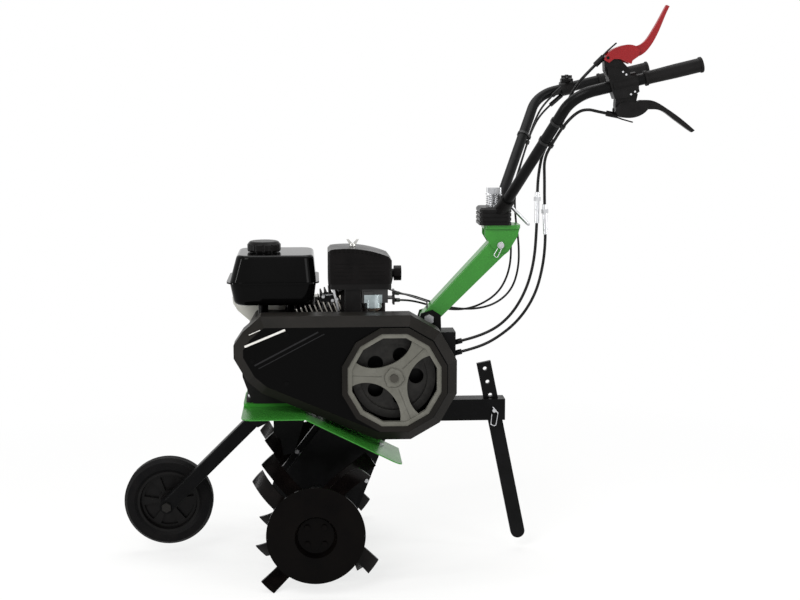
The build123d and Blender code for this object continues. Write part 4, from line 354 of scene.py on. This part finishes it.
# Heat-proof matt black on the silencer, chalky and a little brown near the outlet.
silencer_black = finish(
    "silencer_black", "#121110", "#1F1B18", 0.68, specular=0.12, grain=(1.0, 0.04), patch=28
)
# Extruded PVC cable jacket: smooth, half gloss.
cable_jacket = finish("cable_jacket", "#0B0B0B", "#121212", 0.3, specular=0.15, grain=(1.0, 0.004), patch=15)
# Screen-printed stripes on the cover: opaque ink with a soft edge to its gloss.
pale_ink = finish("pale_ink", "#D6D4CF", "#C9C7C2", 0.4, grain=(0.8, 0.004), patch=20)
dark_ink = finish("dark_ink", "#212122", "#1C1C1D", 0.35, specular=0.1, grain=(0.8, 0.004), patch=20)

finishes = {
    black_powder_coat: [
        "belt_backplate",
        "chain_case_left",
        "chain_case_right",
        "column_post",
        "depth_bar",
        "handlebar_left",
        "handlebar_right",
    ],
    arm_powder_coat: ["wheel_arm"],
    bed_and_hitch_coat: ["chassis_frame"],
    # painted shade: the guard discs wear a darker copy of the tine enamel
    shaded_disc_enamel: ["guard_disc_left", "guard_disc_right"],
    tine_enamel: [
        "inner_tines_left",
        "inner_tines_right",
        "outer_tines_left",
        "outer_tines_right",
    ],
    green_enamel: ["column", "fender", "turret_head"],
    tank_lacquer: ["fuel_tank_lower", "fuel_tank_upper"],
    cover_moulding: ["belt_cover"],
    spider_nylon: ["cover_spider"],
    satin_moulding: [
        "air_cleaner_base",
        "forward_lever",
        "fuel_cap",
        "handlebar_clamp",
        "lever_housing",
        "recoil_cover",
        "starter_handle",
        "throttle_housing",
        "throttle_lever",
        "wheel_rim",
    ],
    cleaner_moulding: ["air_cleaner_cover"],
    lever_red: ["reverse_lever"],
    grip_rubber: ["drive_belt", "grip_left", "grip_right"],
    tyre_rubber: ["wheel_tyre"],
    zinc_plate: [
        "case_bearings",
        "clamp_lever",
        "clamp_spring",
        "pivot_pins",
        "swivel_bolt",
        "tine_pins",
    ],
    bolt_plate: ["frame_bolts"],
    cable_hardware: ["cable_fittings"],
    oiled_steel: ["crankshaft", "drive_chain", "idler_arm", "input_shaft", "tine_shaft"],
    pulley_iron: ["crank_pulley", "driven_pulley", "idler_pulley"],
    cast_black: ["crankcase"],
    finned_casting: ["cylinder_block"],
    carburettor_casting: ["carburettor"],
    blower_paint: ["blower_housing"],
    silencer_black: ["muffler"],
    cable_jacket: ["control_cables"],
}
for coat, names in finishes.items():
    for name in names:
        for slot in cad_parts[name].material_slots:
            slot.material = coat


# Cables: each runs on one curve from its lever to the machine, and bends where the handlebar swivels.
# Diameter and length in metres, then the route in millimetres.
CABLES = {
    "reverse_cable": (
        0.006,
        0.686,
        [
            (541.0, -220.0, 1026.0),
            (521.0, -219.0, 1006.0),
            (504.0, -210.0, 985.0),
            (492.0, -190.0, 957.0),
            (485.8, -172.7, 919.9),
            (469.5, -144.2, 885.3),
            (455.5, -117.0, 852.0),
            (449.5, -112.0, 815.0),
            (447.0, -112.0, 782.0),
            (447.0, -112.0, 704.0),
            (443.0, -108.0, 630.0),
            (426.0, -100.0, 566.0),
            (392.0, -93.0, 512.0),
            (343.0, -84.0, 479.0),
            (296.0, -72.0, 466.0),
        ],
    ),
    "forward_cable": (
        0.006,
        0.672,
        [
            (566.0, -220.0, 930.0),
            (545.0, -221.0, 934.0),
            (525.0, -218.0, 939.0),
            (507.0, -207.0, 934.0),
            (485.6, -186.1, 909.0),
            (469.3, -157.6, 874.4),
            (456.0, -133.0, 842.0),
            (459.0, -125.0, 800.0),
            (460.0, -121.0, 758.0),
            (464.5, -117.0, 682.0),
            (461.0, -110.0, 624.0),
            (447.0, -103.0, 564.0),
            (415.0, -95.0, 511.0),
            (370.0, -84.0, 472.0),
            (330.0, -76.0, 452.0),
            (296.0, -70.0, 443.0),
        ],
    ),
    "throttle_cable": (
        0.0045,
        0.764,
        [
            (531.0, 204.0, 965.0),
            (506.0, 197.0, 944.0),
            (482.0, 174.0, 902.0),
            (462.0, 136.0, 858.0),
            (441.0, 99.0, 808.0),
            (427.0, 68.0, 756.0),
            (427.0, 50.0, 706.0),
            (434.0, 43.0, 655.0),
            (434.0, 40.0, 603.0),
            (420.0, 39.0, 556.0),
            (386.0, 39.0, 526.0),
            (341.0, 38.5, 514.5),
            (288.0, 38.0, 518.0),
            (239.0, 34.0, 535.0),
            (197.0, 12.0, 552.0),
            (171.0, -17.0, 559.0),
        ],
    ),
    "stop_wire": (
        0.0045,
        0.736,
        [
            (529.0, 216.0, 945.0),
            (503.0, 207.0, 924.0),
            (478.0, 182.0, 884.0),
            (458.0, 144.0, 840.0),
            (436.0, 106.0, 790.0),
            (420.0, 78.0, 740.0),
            (415.0, 60.0, 692.0),
            (420.0, 52.0, 640.0),
            (414.0, 48.0, 590.0),
            (392.0, 46.0, 548.0),
            (352.0, 45.5, 522.0),
            (310.0, 45.0, 512.0),
            (262.0, 43.0, 518.0),
            (222.0, 32.0, 532.0),
            (194.0, 4.0, 541.0),
            (172.0, -28.0, 546.0),
        ],
    ),
}


def show(piece, coat):
    piece.data.materials.clear()
    piece.data.materials.append(coat)
    scene.collection.objects.link(piece)
    return piece


def make_piece(shape, name, coat):
    mesh = bpy.data.meshes.new(name)
    shape.to_mesh(mesh)
    shape.free()
    return show(bpy.data.objects.new(name, mesh), coat)


def tube(name, diameter, route):
    # A round tube on one smooth curve, whose control points are the route; returns it and its centre line.
    curve = bpy.data.curves.new(name, "CURVE")
    curve.dimensions = "3D"
    spline = curve.splines.new("NURBS")
    spline.points.add(len(route) - 1)
    for point, spot in zip(spline.points, route):
        point.co = (*place(*spot), 1.0)
    spline.order_u = 3
    spline.use_endpoint_u = True
    spline.resolution_u = 12
    core = bpy.data.objects.new(name + "_core", curve)
    line = bpy.data.meshes.new_from_object(core)
    path = [vertex.co.copy() for vertex in line.vertices]
    curve.bevel_depth = diameter / 2
    curve.bevel_resolution = 3
    curve.use_fill_caps = True
    piece = bpy.data.objects.new(name, bpy.data.meshes.new_from_object(core))
    for face in piece.data.polygons:
        face.use_smooth = True
    return piece, path


def run_cable(name, diameter, route):
    piece, path = tube(name, diameter, route)
    show(piece, cable_jacket)
    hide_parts("control_cables")
    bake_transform(piece)


for name, (diameter, length, route) in CABLES.items():
    run_cable(name, diameter, route)


# Flat pieces are plates with their back on the corners, as thick as given in mm, facing the near side.
def raise_plate(shape, corners, thickness):
    face = shape.faces.new([shape.verts.new(corner) for corner in corners])
    raised = bmesh.ops.extrude_face_region(shape, geom=[face])
    front = [part for part in raised["geom"] if isinstance(part, bmesh.types.BMVert)]
    bmesh.ops.translate(shape, verts=front, vec=Vector((0, -thickness / 1000, 0)))
    bmesh.ops.recalc_face_normals(shape, faces=shape.faces)


# Stripes printed across the front of the cover: two pale, two dark, all on the same slant.
COVER_FRONT = -160.0
INK_HEIGHT = 0.25
INK_SINK = 0.02


def stripe(name, start, end, width, coat):
    shape = bmesh.new()
    run = Vector((end[0] - start[0], 0, end[1] - start[1]))
    across = Vector((-run.z, 0, run.x)).normalized() * width / 2
    corners = [
        place(x + side * across.x, COVER_FRONT + INK_SINK, z + side * across.z)
        for (x, z), side in ((start, -1), (end, -1), (end, 1), (start, 1))
    ]
    raise_plate(shape, corners, INK_HEIGHT + INK_SINK)
    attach(make_piece(shape, name, coat), "chassis")


stripe("pale_stripe_long", (-137, 475), (-57, 508), 4.2, pale_ink)
stripe("pale_stripe_short", (-128, 498.5), (-106, 508), 1.4, pale_ink)
stripe("dark_stripe_upper", (-118, 437), (8, 503), 3.0, dark_ink)
stripe("dark_stripe_lower", (-110, 431), (20, 499), 1.6, dark_ink)


# Screws: low heads that taper a little, sunk into the face that they sit on
SCREW_HEAD = 1.6
SCREW_PROUD = 1.4
SCREW_TAPER = 0.8
HOUSING_FACE = -235.0
HOUSING_SCREWS = [(587.0, 1009.0), (593.5, 1004.0), (611.0, 972.0), (603.5, 967.0)]
HOUSING_SCREW_RADIUS = 2.4


def screw(name, x, face, z, radius, body):
    shape = bmesh.new()
    made = bmesh.ops.create_cone(
        shape,
        cap_ends=True,
        segments=16,
        radius1=radius / 1000,
        radius2=SCREW_TAPER * radius / 1000,
        depth=SCREW_HEAD / 1000,
    )
    bmesh.ops.transform(shape, matrix=Matrix.Rotation(radians(90), 4, "X"), verts=made["verts"])
    middle = face - SCREW_PROUD + SCREW_HEAD / 2
    bmesh.ops.translate(shape, verts=made["verts"], vec=place(x, middle, z))
    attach(make_piece(shape, name, zinc_plate), body)


for number, (x, z) in enumerate(HOUSING_SCREWS):
    screw(f"housing_screw_{number + 1}", x, HOUSING_FACE, z, HOUSING_SCREW_RADIUS, "handlebar")


# Governor: a plate on the fins' near edges, an arm on the plate, the link to the carburettor and a spring
FIN_FACE = -51.5
SHEET = 2.0
SHEET_EDGE = 0.4
PLATE_OUTLINE = [(14, 548), (44, 545), (50, 556), (44, 566), (22, 568), (12, 560)]
PLATE_SCREWS = [(19, 558), (38, 550)]
ARM_OUTLINE = [(48, 528), (53, 529), (41, 579), (36, 578)]
ARM_PIVOT = (46.5, 553)
GOVERNOR_SCREW_RADIUS = 4.0
LINK_WIRE = 0.002
LINK_ROUTE = [
    (38, -57, 574),
    (39, -54.5, 574),
    (60, -54.5, 573),
    (98, -54.5, 570),
    (104, -54.8, 568),
    (106, -57.5, 566),
]
SPRING_WIRE = 0.0009
SPRING_RADIUS = 2.2
SPRING_TURNS = 8
SPRING_STEPS = 8
SPRING_REACH = 24
SPRING_START = Vector((17, FIN_FACE - SHEET - 2.6, 562))


def sheet_metal(name, outline, back, coat):
    shape = bmesh.new()
    raise_plate(shape, [place(x, back, z) for x, z in outline], SHEET)
    bmesh.ops.bevel(
        shape,
        geom=shape.edges[:],
        offset=SHEET_EDGE / 1000,
        affect="EDGES",
        segments=2,
        profile=0.5,
        material=-1,
    )
    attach(make_piece(shape, name, coat), "chassis")


def wire(name, diameter, route):
    piece, _ = tube(name, diameter, route)
    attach(show(piece, zinc_plate), "chassis")


def spring_route():
    # Turns of fine wire from the plate's edge to the arm.
    route = []
    last = SPRING_TURNS * SPRING_STEPS
    for number in range(last + 1):
        turn = Matrix.Rotation(radians(360) * number / SPRING_STEPS, 3, "X")
        along = Vector((SPRING_REACH * number / last, 0, 0))
        route.append(SPRING_START + turn @ Vector((0, SPRING_RADIUS, 0)) + along)
    return route


sheet_metal("governor_plate", PLATE_OUTLINE, FIN_FACE, black_powder_coat)
sheet_metal("governor_arm", ARM_OUTLINE, FIN_FACE - SHEET, zinc_plate)
for number, (x, z) in enumerate(PLATE_SCREWS):
    screw(f"governor_screw_{number + 1}", x, FIN_FACE - SHEET, z, GOVERNOR_SCREW_RADIUS, "chassis")
pivot_x, pivot_z = ARM_PIVOT
screw("governor_pivot", pivot_x, FIN_FACE - 2 * SHEET, pivot_z, GOVERNOR_SCREW_RADIUS, "chassis")
wire("governor_link", LINK_WIRE, LINK_ROUTE)
wire("governor_spring", SPRING_WIRE, spring_route())


# Floor, light and camera. The photograph is 800 pixels wide; the eye is in the CAD model's millimetres.
FLOOR_HALF = 20
WHITE = (1, 1, 1, 1)
FILL_LIGHT = 0.35
FRAME_PIXELS = 800
FOCAL_PIXELS = 1408
SENSOR = 36.0
EYE = (0, -2900, 975)
EYE_RIGHT = (0.99809, -0.06175, 0.0)
EYE_FORWARD = (0.06107, 0.98718, -0.1475)


def background_rays(tree):
    # Rays that see the white background: the camera's, and those that metal and glass send on.
    rays = add(tree, "ShaderNodeLightPath", {})
    seen = rays.outputs["Is Camera Ray"]
    for kind in ("Is Glossy Ray", "Is Transmission Ray"):
        ways = {0: seen, 1: rays.outputs[kind]}
        seen = add(tree, "ShaderNodeMath", ways, operation="MAXIMUM").outputs[0]
    return seen


def floor_finish():
    # Seamless paper: white to the camera far off, and near the machine it keeps the soft shadow.
    material = bpy.data.materials.new("seamless_paper")
    material.use_nodes = True
    tree = material.node_tree
    tree.nodes.clear()
    where = add(tree, "ShaderNodeTexCoord", {}).outputs["Object"]
    far = add(tree, "ShaderNodeVectorMath", {0: where}, operation="LENGTH").outputs["Value"]
    white_share = add(
        tree,
        "ShaderNodeMapRange",
        {"Value": far, "From Min": 0.3, "From Max": 1.6, "To Min": 0.72, "To Max": 1.0},
    ).outputs["Result"]
    seen = background_rays(tree)
    share = add(tree, "ShaderNodeMath", {0: white_share, 1: seen}, operation="MULTIPLY").outputs[0]
    paper = add(tree, "ShaderNodeBsdfDiffuse", {"Color": linear("#F2F2F0")}).outputs[0]
    glow = add(tree, "ShaderNodeEmission", {"Color": WHITE, "Strength": 1.0}).outputs[0]
    mixed = add(tree, "ShaderNodeMixShader", {0: share, 1: paper, 2: glow}).outputs[0]
    add(tree, "ShaderNodeOutputMaterial", {"Surface": mixed})
    return material


def make_floor():
    shape = bmesh.new()
    bmesh.ops.create_grid(shape, x_segments=1, y_segments=1, size=FLOOR_HALF)
    make_piece(shape, "floor", floor_finish())


def make_world():
    world = bpy.data.worlds.new("studio")
    world.use_nodes = True
    scene.world = world
    tree = world.node_tree
    tree.nodes.clear()
    seen = background_rays(tree)
    fill = add(tree, "ShaderNodeBackground", {"Color": WHITE, "Strength": FILL_LIGHT}).outputs[0]
    white = add(tree, "ShaderNodeBackground", {"Color": WHITE, "Strength": 1.0}).outputs[0]
    mixed = add(tree, "ShaderNodeMixShader", {0: seen, 1: fill, 2: white}).outputs[0]
    add(tree, "ShaderNodeOutputWorld", {"Surface": mixed})


def soft_box(name, spot, aim, width, height, watts):
    lamp = bpy.data.lights.new(name, "AREA")
    lamp.shape = "RECTANGLE"
    lamp.size = width
    lamp.size_y = height
    lamp.energy = watts
    holder = bpy.data.objects.new(name, lamp)
    holder.location = spot
    holder.rotation_euler = (Vector(aim) - Vector(spot)).to_track_quat("-Z", "Y").to_euler()
    scene.collection.objects.link(holder)


def make_camera():
    # The view that the photograph was taken from, in the CAD model's axes.
    right = Vector(EYE_RIGHT).normalized()
    forward = Vector(EYE_FORWARD).normalized()
    up = right.cross(forward).normalized()
    right = forward.cross(up)
    lens = bpy.data.cameras.new("camera")
    lens.sensor_width = SENSOR
    lens.lens = FOCAL_PIXELS * SENSOR / FRAME_PIXELS
    lens.clip_end = 60
    eye = bpy.data.objects.new("camera", lens)
    turn = Matrix((right, up, -forward)).transposed().to_4x4()
    eye.matrix_world = Matrix.Translation(place(*EYE)) @ turn
    scene.collection.objects.link(eye)
    scene.camera = eye


make_floor()
make_world()
soft_box("key_box", (-1.3, -2.4, 2.3), (0.0, 0.0, 0.5), 1.4, 1.4, 55)
soft_box("fill_box", (1.8, -2.2, 1.3), (0.0, 0.0, 0.5), 1.0, 1.6, 22)
soft_box("top_box", (0.0, 0.4, 2.6), (0.0, 0.0, 0.5), 2.2, 1.6, 40)
soft_box("front_strip", (-2.6, -0.9, 0.7), (0.0, 0.0, 0.5), 0.2, 1.5, 22)
soft_box("rear_strip", (2.5, -0.7, 0.9), (0.0, 0.0, 0.6), 0.2, 1.5, 18)
make_camera()
scene.view_settings.view_transform = "Standard"
